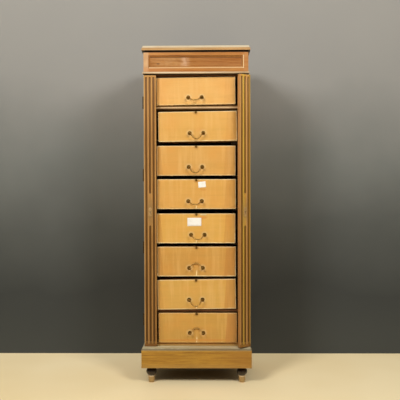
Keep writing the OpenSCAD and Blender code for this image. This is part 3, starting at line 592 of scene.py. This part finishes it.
def dress_stiles():
    """The flutes are darkened, partly by dirt and old dark polish and partly as painted shade in their
    hollows, and the fillets between them are rubbed light.
    """
    # both stiles are marked on the left one's box, from the hinge's edge (left) to the free edge (right)
    box = own_box("stile_left", stile_frame("left"))
    plate = own_box("escutcheon_left", stile_frame("left"))
    lock = (plate[0] + plate[1]) / 2
    middle = (box[1].x - box[0].x) / 2 / MM
    # in mm: from flute to flute, and half the widths marked on a fillet and on a flute
    pitch, fillet, flute = 17.9, 4, 5
    hinge_fillet, free_fillet = [("left", middle + k * pitch / 2 - fillet, middle + k * pitch / 2 + fillet, 1)
                                 for k in (-1, 1)]
    flutes = [("left", middle + k * pitch - flute, middle + k * pitch + flute, 2) for k in (-1, 0, 1)]
    front = ("front", OUT, 0.5, 0.8)
    rim = ("left", OUT, 2.2, 1)
    for side, tones, rubbed, seed, fillets, edges in (
        ("left", ("#9e6e36", "#b88546", "#c79756"), "#cfa272", 8.8,
         [("#c09058", 0.5, front, hinge_fillet)],
         # a pale rim along the hinge edge is a painted highlight
         [("#b8a27c", 0.8, front, rim)]),
        ("right", ("#b47c30", "#ce983e", "#daa84c"), "#cfa25c", 9.9,
         [("#cca642", 0.75, front, free_fillet), ("#c89664", 0.65, front, hinge_fillet)],
         # a pale rim along the hinge edge is a painted highlight, and the free side, which lies in shade, is
         # lightened as painted light
         [("#c4b282", 0.8, front, rim), ("#c08a5c", 0.65, ("right", OUT, 6, 1)),
          ("#7c5c16", 0.7, front, ("left", 1.2, 6.7, 1))]),
    ):
        def stile_wear_and_shade(tree, here, colour, fillets=fillets, edges=edges):
            # the right stile runs leftwards from its hinge, so X is taken without its sign
            parts = add(tree, "SeparateXYZ", [here]).outputs
            across = add(tree, "Math", [parts["X"]], operation="ABSOLUTE")
            unsigned = add(tree, "CombineXYZ", [across, parts["Y"], parts["Z"]])
            colour = lay(tree, unsigned, colour, box, fillets)
            face = box[0].y
            # dirt and painted shade in the flutes' hollows
            sunk = add(tree, "MapRange", [parts["Y"], face + 0.2 * MM, face + 2.2 * MM])
            # less of it high up
            share = add(tree, "MapRange", [parts["Z"], 0.60, -0.60, 0.74, 1.0])
            colour = lay(tree, unsigned, colour, box, [("#3e2000", 0.9, ("left", 4.5, 55.5, 2))], sunk, share)
            colour = lay(tree, unsigned, colour, box, edges)
            # rubbed by keys round the lock
            handled = spot(tree, unsigned, lock, (14, 20, 60), 0.5)
            cloud = patchy(tree, here, 14.3)
            colour = stain(tree, colour, "#8c7650", 0.9, handled, cloud)
            # the flutes' dark, partly dirt and partly painted shade, runs on over the plain foot, which is
            # darker and redder
            runs = [("#3e2000", 0.7, front, strip, ("foot", 12.6, 22.1, 3)) for strip in flutes]
            plain = ("#6a3612", 0.62, front, ("foot", OUT, 13.6, 4))
            colour = lay(tree, unsigned, colour, box, runs + [plain])
            # darker towards the foot
            foot = add(tree, "MapRange", [parts["Z"], 0.60, -0.66])
            return stain(tree, colour, "#5a3c14", 0.40, foot)
        put(wood("fluted_walnut_" + side, "z", tones, rough=0.4, coat=0.08, gleam=0.25, figure=12,
                 wear=(rubbed, 1.3), place=stile_frame(side), marks=stile_wear_and_shade, seed=seed), "stile_" + side)


# ---- boxes ----

# colour of each drop front, from the top: the wood has aged unevenly, and the tones also darken towards the
# foot as painted shade
FRONT_TONES = ["#e6b062", "#dfaa58", "#d9a456", "#dea856", "#e1ad56", "#d09b4c", "#d9a853", "#ce9c48"]
# length in mm of the streak that the knob below has rubbed on each drop front
STREAKS = [5, 8, 8, 20, 24, 34, 22, 32]
# how strongly the edges of each drop front are rubbed: along its top, then along its foot
TOP_EDGES = [0.50, 0.66, 0.66, 0.70, 0.55, 0.50, 0.60, 0.25]
FOOT_EDGES = [0.40, 0.85, 0.66, 0.70, 1.0, 1.0, 0.80, 0.15]
# how strongly the painted shadow and reflection of the stiles show at each drop front's left and right end
LEFT_END_SHADE = [0.12, 0.05, 0.50, 0.12, 0.50, 0.60, 0.25, 0.30]
RIGHT_END_SHADE = [0.12, 0.16, 0.24, 0.30, 0.34, 0.50, 0.45, 0.62]
# patches of old glue on the drop fronts: box, across, up, width and height (mm), colour and strength
GLUE = (
    (4, 33, 95, 30, 12, "#d0893e", 0.40),
    (5, 36, 127, 36, 13, "#dd9140", 0.75),
    (2, 6, 55, 34, 20, "#e2a35a", 0.40),
    (8, -10, 12, 350, 11, "#d88f3c", 0.65),
)
# from the middle of a pull to its posts
HALF_PULL = 33 * MM


def box_frame(i):
    """Box i's own frame: its origin is the middle of the drop front's foot, and it tilts with the box."""
    hinge = JOINTS[f"flap_hinge_{i}"]
    tilt = -math.atan2(hinge["axis"][2], hinge["axis"][0])
    return Matrix.Translation(hinge["pos_m"]) @ Matrix.Rotation(tilt, 4, "Y")


def dress_fronts():
    """Maple veneer under thin clear varnish, gone golden: nearly plain, soft streaks, rubbed edges."""
    for i in BOXES:
        tone = FRONT_TONES[i - 1]
        put(wood(f"varnished_maple_{i}", "x", (darker(tone, 0.955), tone, darker(tone, 1.03)), rough=0.36,
                 coat=0.25, figure=24, lines=4, depth=0.5, place=box_frame(i), marks=front_marks(i),
                 seed=i * 0.77), f"flap_{i}")


def front_marks(i):
    """What age and handling have left on drop front i, and the shade and reflections painted on it."""
    box = own_box(f"flap_{i}", box_frame(i))
    face = box[0].y
    wide = box[1].x - box[0].x
    tall = box[1].z
    # the knob of the box below stands in the middle of the cabinet
    knob_x = -JOINTS[f"flap_hinge_{i}"]["pos_m"][0]
    pull = box_frame(i).inverted() @ Vector(JOINTS[f"bail_swing_{i}"]["pos_m"])

    def marks(tree, here, colour):
        parts = add(tree, "SeparateXYZ", [here]).outputs
        rub = patchy(tree, here, 28.6)
        front = window(tree, parts["Y"], face - 10 * MM, face + 1.5 * MM, 1 * MM)
        # warmer and yellower clouds, and faint upright handling streaks
        moved = add(tree, "Mapping", {"Vector": here, "Location": (i * 3.1, 0, i * 1.3)})
        colour = stain(tree, colour, "#e09a44", 0.35, patchy(tree, moved, 111.1, 0.45, 0.7, detail=2.0))
        upright = add(tree, "Mapping", {"Vector": moved, "Scale": (1, 1, 0.10)})
        colour = stain(tree, colour, "#eec078", 0.35, patchy(tree, upright, 18.18, 0.48, 0.72))
        # painted shadow and reflection of the stiles on the ends, in bands that lean
        for side, slope, far, tint, strength in (("right", -0.08, 58.5, "#c07e38", RIGHT_END_SHADE[i - 1]),
                                                 ("left", 0.10, 30.5, "#bf863c", LEFT_END_SHADE[i - 1])):
            lean = add(tree, "Math", [parts["Z"], slope, parts["X"]], operation="MULTIPLY_ADD")
            leaning = add(tree, "CombineXYZ", [lean])
            colour = lay(tree, leaning, colour, box, [(tint, strength, (side, OUT, far, 4))], front)
        # fine streaks in the right end's band: a painted reflection of the fluted stile
        fine = patchy(tree, upright, 7.692, 0.45, 0.6, detail=2.0)
        colour = lay(tree, here, colour, box, [
            ("#b08040", 0.06 + 0.02 * i, ("right", OUT, 43.5, 20))], front, fine)
        # rubbed edges, most at the foot and the top: middle, half size, depth in mm and strength
        edge = 0.0
        for axis, centre, half, start, most in (("Z", tall / 2, tall / 2, 5.5, 1.0),
                                                ("X", 0.0, wide / 2, 6.0, 0.8)):
            far = add(tree, "Math", [parts[axis], centre], operation="SUBTRACT")
            far = add(tree, "Math", [far], operation="ABSOLUTE")
            near = add(tree, "MapRange", [far, half - start * MM, half - (start - 4) * MM, 0, most])
            edge = add(tree, "Math", [near, edge], operation="MAXIMUM")
        edge = add(tree, "Math", [edge, rub], operation="MULTIPLY")
        edge = add(tree, "MapRange", [edge, 0.08, 0.42])
        upper = window(tree, parts["Z"], tall / 2, 1.0, 0.02)
        worn = add(tree, "MapRange", [upper, 0, 1, FOOT_EDGES[i - 1], TOP_EDGES[i - 1]])
        colour = stain(tree, colour, "#f8e2b0", 1.0, edge, worn)
        if i == 1:
            # painted shade of the bead over the top of the first drop front
            colour = lay(tree, here, colour, box, [("#7a5026", 0.55, ("top", OUT, 2.4, 1.2))])
        # the streak that the knob below has rubbed
        long = STREAKS[i - 1] * MM
        drift = add(tree, "Math", [rub, 0.5], operation="SUBTRACT")
        drift = add(tree, "Math", [drift, 10 * MM, parts["X"]], operation="MULTIPLY_ADD")
        line = window(tree, drift, knob_x - 2.8 * MM, knob_x + 2.8 * MM, 3 * MM)
        length = add(tree, "MapRange", [parts["Z"], long, long * 0.6])
        colour = stain(tree, colour, "#fbdea2", 0.95, line, length)
        for front_with_it, across, up, width, height, tint, strength in GLUE:
            if front_with_it == i:
                patch = spot(tree, here, (across * MM, face, up * MM), (width / 2, 10, height / 2), 0.4)
                colour = stain(tree, colour, tint, strength, patch)
        # a paler ring round each of the pull's two heads, and a dark one closer in
        for hand in (-1, 1):
            head = (pull.x + hand * HALF_PULL, face, pull.z)
            for tint, strength, size, soft in (("#f2d49a", 0.35, 16.5, 0.4), ("#6a4318", 0.7, 7.8, 0.3)):
                ring = spot(tree, here, head, (size, 20, size), soft)
                colour = stain(tree, colour, tint, strength, front, ring)
        if i == 1:
            return colour
        # a hand's smudge round the catch knob
        smudge = spot(tree, here, (knob_x, face, tall - 6 * MM), (13, 20, 10), 0.5)
        return stain(tree, colour, "#b07a3a", 0.35, smudge)
    return marks


def darker(code, share):
    """A hex colour scaled in its sRGB values."""
    return "#" + "".join(f"{min(255, round(int(code[k:k + 2], 16) * share)):02x}" for k in (1, 3, 5))


def dress_boxes():
    """Bare poplar boards with dovetails at their corners."""
    # in mm: the boards' thickness and their gap behind the drop front, the dovetails' pitch, half a
    # pin's width at its tip, and the blur of its rim
    board, gap, pitch, pin_tip, blur = 6.0, 0.5, 24.0, 3.5, 0.3
    board_back = own_box("box_1", box_frame(1))[1].y

    def dovetails(tree, here, colour):
        parts = add(tree, "SeparateXYZ", [here]).outputs
        front = add(tree, "Math", [parts["Y"], gap * MM], operation="SUBTRACT")
        back = add(tree, "Math", [board_back, parts["Y"]], operation="SUBTRACT")
        into = add(tree, "Math", [front, back], operation="MINIMUM")
        corner = add(tree, "MapRange", [into, (board + 0.2) * MM, (board - 0.2) * MM])
        # a pin is wider at its root
        step = add(tree, "Math", [parts["Z"], pitch * MM], operation="MODULO")
        step = add(tree, "Math", [step, pitch / 2 * MM], operation="SUBTRACT")
        step = add(tree, "Math", [step], operation="ABSOLUTE")
        slope = add(tree, "Math", [into, 0.3, pin_tip * MM], operation="MULTIPLY_ADD")
        pin = add(tree, "Math", [slope, step], operation="SUBTRACT")
        pin = add(tree, "MapRange", [pin, -blur * MM, blur * MM])
        return stain(tree, colour, "#8a6638", 0.75, pin, corner)
    for i in BOXES:
        put(wood(f"bare_poplar_{i}", "y", ("#b08c5a", "#c9a670", "#d8b984"), rough=0.62, coat=0.0,
                 depth=0.8, wear=("#e0c898", 1.5), place=box_frame(i), marks=dovetails, seed=i * 1.31),
            f"box_{i}")


# ---- metal ----

def metal(name, bright, tarnish, rough, share, grain=8.0):
    """A cast or cut metal part gone dull: bright where it is rubbed, with a brown skin elsewhere."""
    material, tree = new_material(name)
    here = add(tree, "TexCoord").outputs["Object"]
    skinned = patchy(tree, here, grain, 0.4, 0.62, least=share - 0.25, most=share + 0.15, detail=4.0)
    edge, turned = round_edges(tree, 0.8, 4)
    rubbed = add(tree, "MapRange", [turned, 0.99, 0.8, 0, 0.5])
    skinned = add(tree, "Math", [skinned, rubbed], operation="SUBTRACT", use_clamp=True)
    colour = add(tree, "MixRGB", [skinned, linear(bright), linear(tarnish)])
    gloss = add(tree, "MapRange", [skinned, 0, 1, rough, rough + 0.25])
    # casting and file marks, about 0.6 mm
    pits = patchy(tree, here, 0.6, detail=2.0)
    relief = add(tree, "Bump", {"Height": pits, "Normal": edge, "Strength": 0.2, "Distance": 0.1 * MM})
    finish = add(tree, "BsdfPrincipled", {"Base Color": colour, "Metallic": 1.0, "Roughness": gloss,
                                          "Normal": relief})
    add(tree, "OutputMaterial", {"Surface": finish})
    return material


# how far a bail can lean against its drop front at either end of its swing, from upright, in degrees
LEAN = 33


def make_bails(brass):
    """Each bail swells to its grip between two turned rings, and hooks into the posts' heads."""
    # in mm: half the bow's span, its drop below the elbows, the elbows' bend, and the hooks' ends
    reach, leg, elbow, hook = 25.3, 3.0, 2.6, (32.4, 30.0)
    # half thicknesses in mm: hook, elbow, arm, and what the grip and the rings add to it
    pivot, bent, arm, grip, ring = 1.8, 1.85, 2.1, 1.25, 0.7
    path = [Vector((x, 0, 0)) for x in (*hook, reach + elbow)]
    thick = [pivot, pivot, bent]
    bends = 6
    for k in range(1, bends + 1):
        a = math.radians(90 * k / bends)
        path.append(Vector((reach + elbow * (1 - math.sin(a)), 0, -elbow * (1 - math.cos(a)))))
        thick.append(bent + 0.35 * k / bends)
    # as shares of the half circle: where the grip starts and is full, where the rings are, and their width
    grip_from, grip_full, rings_at, ring_wide = 0.22, 0.42, (0.20, 0.245), 0.009
    steps = 60
    for k in range(1, steps // 2 + 1):
        along = k / steps
        a = math.pi * along
        path.append(Vector((reach * math.cos(a), 0, -leg - reach * math.sin(a))))
        swell = arm + grip * max(0.0, min(1.0, (along - grip_from) / (grip_full - grip_from))) ** 0.8
        for ring_at in rings_at:
            swell += ring * math.exp(-((along - ring_at) / ring_wide) ** 2)
        thick.append(swell)
    path += [Vector((-p.x, p.y, p.z)) for p in reversed(path[:-1])]
    thick += list(reversed(thick[:-1]))
    for i in BOXES:
        swing = JOINTS[f"bail_swing_{i}"]
        tilt = math.atan2(swing["axis"][2], -swing["axis"][0])
        lean = math.radians(swing["range_deg"][0] + LEAN)
        place = (Matrix.Translation(swing["pos_m"]) @ Matrix.Rotation(tilt, 4, "Y")
                 @ Matrix.Rotation(lean, 4, "X"))
        placed = [place @ (p * MM) for p in path]
        aside = place.to_3x3() @ Vector((0, 1, 0))

        def build(shape, placed=placed, aside=aside):
            rings = []
            for k, point in enumerate(placed):
                ahead = (placed[min(k + 1, len(placed) - 1)] - placed[max(k - 1, 0)]).normalized()
                other = ahead.cross(aside)
                half = thick[k] * MM
                rings.append([shape.verts.new(point + half * (math.cos(a) * aside + math.sin(a) * other))
                              for a in circle(20)])
            skin(shape, rings)
        bail = mesh_piece(f"cast_bail_{i}", build, brass, f"bail_{i}")
        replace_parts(bail, f"bail_{i}")


def dress_metal():
    """Cast brass, never lacquered: a brown skin with yellow where hands rub it. Lock cases of sawn steel."""
    brass = metal("tarnished_cast_brass", "#b88e48", "#46300f", 0.38, 0.72)
    rubbed_brass = metal("rubbed_cast_brass", "#dcb268", "#83602f", 0.34, 0.58)
    sheet_brass = metal("tarnished_sheet_brass", "#dcb884", "#ab8b5c", 0.55, 0.6, grain=5.0)
    hinge_brass = metal("blackened_sheet_brass", "#7d6236", "#35270f", 0.42, 0.85, grain=5.0)
    steel = metal("dull_sawn_steel", "#8b8880", "#55504a", 0.45, 0.5)
    for i in BOXES:
        put(brass, f"flap_brass_{i}")
        put(rubbed_brass, f"bail_{i}")
    put(sheet_brass, "escutcheon_left", "escutcheon_right", "lock_bolt_left", "lock_bolt_right")
    put(hinge_brass, "stile_hinge_plates", "stile_hinge_leaves_left", "stile_hinge_leaves_right")
    put(steel, "lock_left", "lock_right")
    leave_out_knob(brass)
    make_bails(rubbed_brass)
    drive_fasteners(sheet_brass)


def leave_out_knob(brass):
    """The top drop front has lost its catch knob: its brass is the posts and the hinges alone."""
    under_knob = JOINTS["flap_hinge_1"]["pos_m"][2] + 110 * MM

    def build(shape):
        shape.from_mesh(NODES["flap_brass_1"].data)
        bmesh.ops.remove_doubles(shape, verts=shape.verts, dist=0.001 * MM)
        knob = [vert for vert in shape.verts if vert.co.z > under_knob]
        bmesh.ops.delete(shape, geom=knob, context="VERTS")
        for face in shape.faces:
            face.smooth = True
        for edge in shape.edges:
            edge.smooth = edge.calc_face_angle(0.0) < math.radians(30)
    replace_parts(mesh_piece("posts_and_hinges_1", build, brass, "drop_front_1"), "flap_brass_1")


# ---- nails, pins and screws ----

def fastener_rows():
    """Heads set in rows: a line of them along Step, and that line again along Row Step."""
    tree = bpy.data.node_groups.new("fastener_rows", "GeometryNodeTree")
    tree.is_modifier = True
    sockets = (
        ("Start", "Vector", None), ("Step", "Vector", None), ("Count", "Int", 2),
        ("Row Step", "Vector", None), ("Rows", "Int", 2), ("Head Radius", "Float", 0.002),
        ("Head Height", "Float", 0.0005), ("Slot Width", "Float", 0.0), ("Turn", "Vector", None),
        ("Uneven", "Float", 0.0), ("Metal", "Material", None), ("Slot Dirt", "Material", None),
    )
    for label, kind, start in sockets:
        socket = tree.interface.new_socket(label, in_out="INPUT", socket_type="NodeSocket" + kind)
        if start is not None:
            socket.default_value = start
    tree.interface.new_socket("Geometry", in_out="OUTPUT", socket_type="NodeSocketGeometry")
    given = add(tree, "NodeGroupInput").outputs
    line = add(tree, "GeometryNodeMeshLine", {"Count": given["Count"], "Start Location": given["Start"],
                                              "Offset": given["Step"]})
    rows = add(tree, "GeometryNodeMeshLine", {"Count": given["Rows"], "Offset": given["Row Step"]})
    places = add(tree, "GeometryNodeInstanceOnPoints", {"Points": rows, "Instance": line})
    places = add(tree, "GeometryNodeRealizeInstances", {"Geometry": places})
    # nobody drives a row dead straight
    back = add(tree, "VectorMath", [given["Uneven"], (-1, -1, -1)], operation="MULTIPLY")
    astray = add(tree, "FunctionNodeRandomValue", {0: back, 1: given["Uneven"], "Seed": 5},
                 data_type="FLOAT_VECTOR")
    places = add(tree, "GeometryNodeSetPosition", {"Geometry": places, "Offset": astray})
    # a domed head: the upper part of a flattened ball
    ball = add(tree, "GeometryNodeMeshUVSphere", {"Segments": 16, "Rings": 8, "Radius": 1.0})
    stretch = add(tree, "CombineXYZ", [given["Head Radius"], given["Head Radius"], given["Head Height"]])
    head = add(tree, "GeometryNodeTransform", {"Geometry": ball, "Scale": stretch})
    head = add(tree, "GeometryNodeSetShadeSmooth", {0: head, "Shade Smooth": True})
    # the slot is a thin bar of dirt that just breaks the dome: its length and height over the head's
    # radius and height
    slot_long, slot_high = 1.55, 1.9
    long = add(tree, "Math", [given["Head Radius"], slot_long], operation="MULTIPLY")
    high = add(tree, "Math", [given["Head Height"], slot_high], operation="MULTIPLY")
    size = add(tree, "CombineXYZ", [long, given["Slot Width"], high])
    bar = add(tree, "GeometryNodeMeshCube", {"Size": size})
    bar = add(tree, "GeometryNodeStoreNamedAttribute", {"Geometry": bar, "Name": "slot", "Value": True},
              data_type="BOOLEAN", domain="FACE")
    slotted = add(tree, "FunctionNodeCompare", [given["Slot Width"], 0.00001], operation="GREATER_THAN")
    whole = add(tree, "GeometryNodeJoinGeometry")
    tree.links.new(bar.outputs[0], whole.inputs[0])
    tree.links.new(head.outputs[0], whole.inputs[0])
    chosen = add(tree, "GeometryNodeSwitch", {"Switch": slotted, "False": head, "True": whole},
                 input_type="GEOMETRY")
    # each slot came to rest at its own angle, anywhere in about half a turn
    spin = add(tree, "FunctionNodeRandomValue", {2: 0.0, 3: 3.14, "Seed": 11})
    spun = add(tree, "CombineXYZ", {2: spin.outputs[1]})
    turned = add(tree, "FunctionNodeEulerToRotation", [given["Turn"]])
    own = add(tree, "FunctionNodeEulerToRotation", [spun])
    both = add(tree, "FunctionNodeRotateRotation", [turned, own], rotation_space="LOCAL")
    heads = add(tree, "GeometryNodeInstanceOnPoints", {"Points": places, "Instance": chosen,
                                                       "Rotation": both})
    real = add(tree, "GeometryNodeRealizeInstances", {"Geometry": heads})
    real = add(tree, "GeometryNodeSetMaterial", {"Geometry": real, "Material": given["Metal"]})
    slots = add(tree, "GeometryNodeInputNamedAttribute", {"Name": "slot"}, data_type="BOOLEAN")
    real = add(tree, "GeometryNodeSetMaterial", {"Geometry": real, "Selection": slots,
                                                 "Material": given["Slot Dirt"]})
    real = add(tree, "GeometryNodeRemoveAttribute", {"Geometry": real, "Name": "slot"})
    add(tree, "NodeGroupOutput", {"Geometry": real})
    return tree


def set_heads(name, tree, body, slot, frame_of_body, **inputs):
    """Makes the heads of one body a plain mesh that rides on it."""
    holder = new_object(name + "_seed", bpy.data.meshes.new(name + "_seed"))
    modifier = holder.modifiers.new("rows", "NODES")
    modifier.node_group = tree
    socket_of = {item.name: item.identifier for item in tree.interface.items_tree if item.in_out == "INPUT"}
    for key, value in inputs.items():
        modifier[socket_of[key.replace("_", " ")]] = value
    holder.update_tag()
    seen = holder.evaluated_get(bpy.context.evaluated_depsgraph_get())
    mesh = bpy.data.meshes.new_from_object(seen, preserve_all_data_layers=False,
                                           depsgraph=bpy.context.evaluated_depsgraph_get())
    mesh.transform(frame_of_body)
    mesh.name = name
    bpy.data.objects.remove(holder)
    hand_over(new_object(name, mesh), body)


def drive_fasteners(sheet_brass):
    """Slotted screws in every hinge leaf, pins in the escutcheons, and nails along the back board."""
    tree = fastener_rows()
    iron = metal("rusty_nail_iron", "#6b6560", "#4a3324", 0.5, 0.7, grain=3.0)
    dirt, soil = new_material("dirt_in_slots")
    here = add(soil, "TexCoord").outputs["Object"]
    lumps = add(soil, "TexNoise", {"Vector": here, "Scale": 1 / (0.4 * MM)})
    colour = add(soil, "ValToRGB", [lumps], stops=[(0.3, "#15100a"), (0.7, "#2a2014")])
    dull = add(soil, "BsdfPrincipled", {"Base Color": colour, "Roughness": 0.9})
    add(soil, "OutputMaterial", {"Surface": dull})
    forwards, backwards = (math.pi / 2, 0, 0), (-math.pi / 2, 0, 0)
    brass = {"Metal": sheet_brass, "Slot_Dirt": dirt}
    # four hinges a stile, with three screws up the middle of each leaf
    hinges, screws = 4, 3
    end_hinge, apart, in_leaf = 0.13, 0.020, 0.014
    low, high = own_box("stile_left", stile_frame("left"))
    first = low.z + end_hinge - apart
    leaf = {"Step": (0, 0, apart), "Count": screws, "Rows": hinges,
            "Row_Step": (0, 0, (high.z - low.z - 2 * end_hinge) / (hinges - 1)),
            "Head_Radius": 0.0036, "Head_Height": 0.0003, "Slot_Width": 0.0007, **brass}
    plate_low, plate_high = own_box("escutcheon_left", stile_frame("left"))
    pin_inset = 0.006
    for side, inwards in (("left", 1), ("right", -1)):
        stile = stile_frame(side)
        # on the stile's leaves, which face the posts
        set_heads(f"stile_screws_{side}", tree, f"{side}_stile", "aged_brass", stile,
                  Start=(inwards * in_leaf, high.y, first), Turn=backwards, **leaf)
        set_heads(f"escutcheon_pins_{side}", tree, f"{side}_stile", "aged_brass", stile,
                  Start=(inwards * (plate_low.x + plate_high.x) / 2, plate_low.y, plate_low.z + pin_inset),
                  Step=(0, 0, plate_high.z - plate_low.z - 2 * pin_inset), Count=2, Row_Step=(0, 0, 0),
                  Rows=1, Head_Radius=0.0013, Head_Height=0.0006, Turn=forwards, **brass)
        # on the leaves let into the posts, up the middle of the side panel's front edge
        panel_low, panel_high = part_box(f"side_panel_{side}")
        pin_z = JOINTS[side + "_stile_hinge"]["pos_m"][2]
        set_heads(f"post_screws_{side}", tree, "carcass", "aged_brass", Matrix.Identity(4),
                  Start=((panel_low[0] + panel_high[0]) / 2, panel_low[1], pin_z + first),
                  Turn=forwards, **leaf)
    board_low, board_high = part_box("back_panel")
    nails, from_side, from_end = 14, 0.008, 0.015
    set_heads("back_nails", tree, "carcass", "lock_steel", Matrix.Identity(4),
              Start=(board_low[0] + from_side, board_high[1], board_low[2] + from_end), Count=nails,
              Step=(0, 0, (board_high[2] - board_low[2] - 2 * from_end) / (nails - 1)),
              Row_Step=(board_high[0] - board_low[0] - 2 * from_side, 0, 0), Rows=2, Head_Radius=0.0022,
              Head_Height=0.0007, Turn=backwards, Uneven=0.0009, Metal=iron, Slot_Dirt=dirt)
    # the flap hinges' two screws a leaf
    flap_hinge_x, apart, up = 0.120, 0.022, 0.0095
    for i in BOXES:
        set_heads(f"flap_screws_{i}", tree, f"drop_front_{i}", "aged_brass", box_frame(i),
                  Start=(-flap_hinge_x - apart / 2, 0, up), Step=(apart, 0, 0), Count=2, Turn=backwards,
                  Row_Step=(2 * flap_hinge_x, 0, 0), Rows=2, Head_Radius=0.0026, Head_Height=0.0003,
                  Slot_Width=0.0006, **brass)


# ---- paper labels ----

def paper(name, shaded, plain):
    """Matt paper with fibres, faintly blotched by the glue behind it."""
    material, tree = new_material(name)
    here = add(tree, "TexCoord").outputs["Object"]
    fibres = patchy(tree, here, 2)
    blotches = patchy(tree, here, 25)
    colour = add(tree, "ValToRGB", [blotches], stops=[(0.3, shaded), (0.6, plain)])
    relief = add(tree, "Bump", {"Height": fibres, "Strength": 0.15, "Distance": 0.1 * MM})
    sheet = add(tree, "BsdfPrincipled", {"Base Color": colour, "Roughness": 0.85, "Normal": relief})
    add(tree, "OutputMaterial", {"Surface": sheet})
    return material


def make_labels():
    """Blank gummed paper, its corners lifting a little, and a scrap of it gone yellow."""
    fresh = paper("gummed_paper", "#efe9dc", "#f8f5ee")
    yellowed = paper("yellowed_paper", "#d8bf8a", "#ecd9a8")
    # box, middle of the label across and up its drop front, width, height (mm), turn (degrees) and paper
    for i, name, across, up, wide, tall, turn, material in (
        (4, "label_4", 27.1, 119.7, 37.0, 29.0, 5.0, fresh),
        (5, "label_5", -8.5, 104.6, 69.0, 41.0, 0.5, fresh),
        (5, "label_scrap_5", 35.5, 141.3, 28.0, 7.0, 2.0, yellowed),
    ):
        angle = math.radians(turn)
        own_frame = box_frame(i)
        front_y = own_box(f"flap_{i}", own_frame)[0].y / MM

        def build(shape, across=across, up=up, wide=wide, tall=tall, angle=angle, front_y=front_y,
                  own_frame=own_frame):
            # in mm: the gum under the sheet, the sheet, and how far its corners lift
            gum, sheet, curl = 0.12, 0.16, 0.9
            # the corners curl where the product of the two shares of the way out passes this
            flat = 0.62
            nx, nz = 12, 8
            grid = {}
            for back in (0, 1):
                for a in range(nx + 1):
                    for b in range(nz + 1):
                        u, v = a / nx * 2 - 1, b / nz * 2 - 1
                        lift = curl * max(0.0, abs(u * v) - flat) / (1 - flat)
                        x, z = u * wide / 2, v * tall / 2
                        px = across + x * math.cos(angle) - z * math.sin(angle)
                        pz = up + x * math.sin(angle) + z * math.cos(angle)
                        y = front_y - gum - lift - (0.0 if back else sheet)
                        grid[back, a, b] = shape.verts.new(own_frame @ (Vector((px, y, pz)) * MM))
            for a in range(nx):
                for b in range(nz):
                    for back in (0, 1):
                        face = shape.faces.new([grid[back, a, b], grid[back, a + 1, b],
                                                grid[back, a + 1, b + 1], grid[back, a, b + 1]])
                        face.smooth = True
            rim = ([(a, 0) for a in range(nx)] + [(nx, b) for b in range(nz)]
                   + [(a, nz) for a in range(nx, 0, -1)] + [(0, b) for b in range(nz, 0, -1)])
            for one, two in zip(rim, rim[1:] + rim[:1]):
                shape.faces.new([grid[(0,) + one], grid[(0,) + two], grid[(1,) + two], grid[(1,) + one]])
        mesh_piece(name, build, material, f"drop_front_{i}")


set_camera()
set_stage()
set_light()
dress_case()
dress_stiles()
dress_fronts()
dress_boxes()
dress_metal()
make_labels()
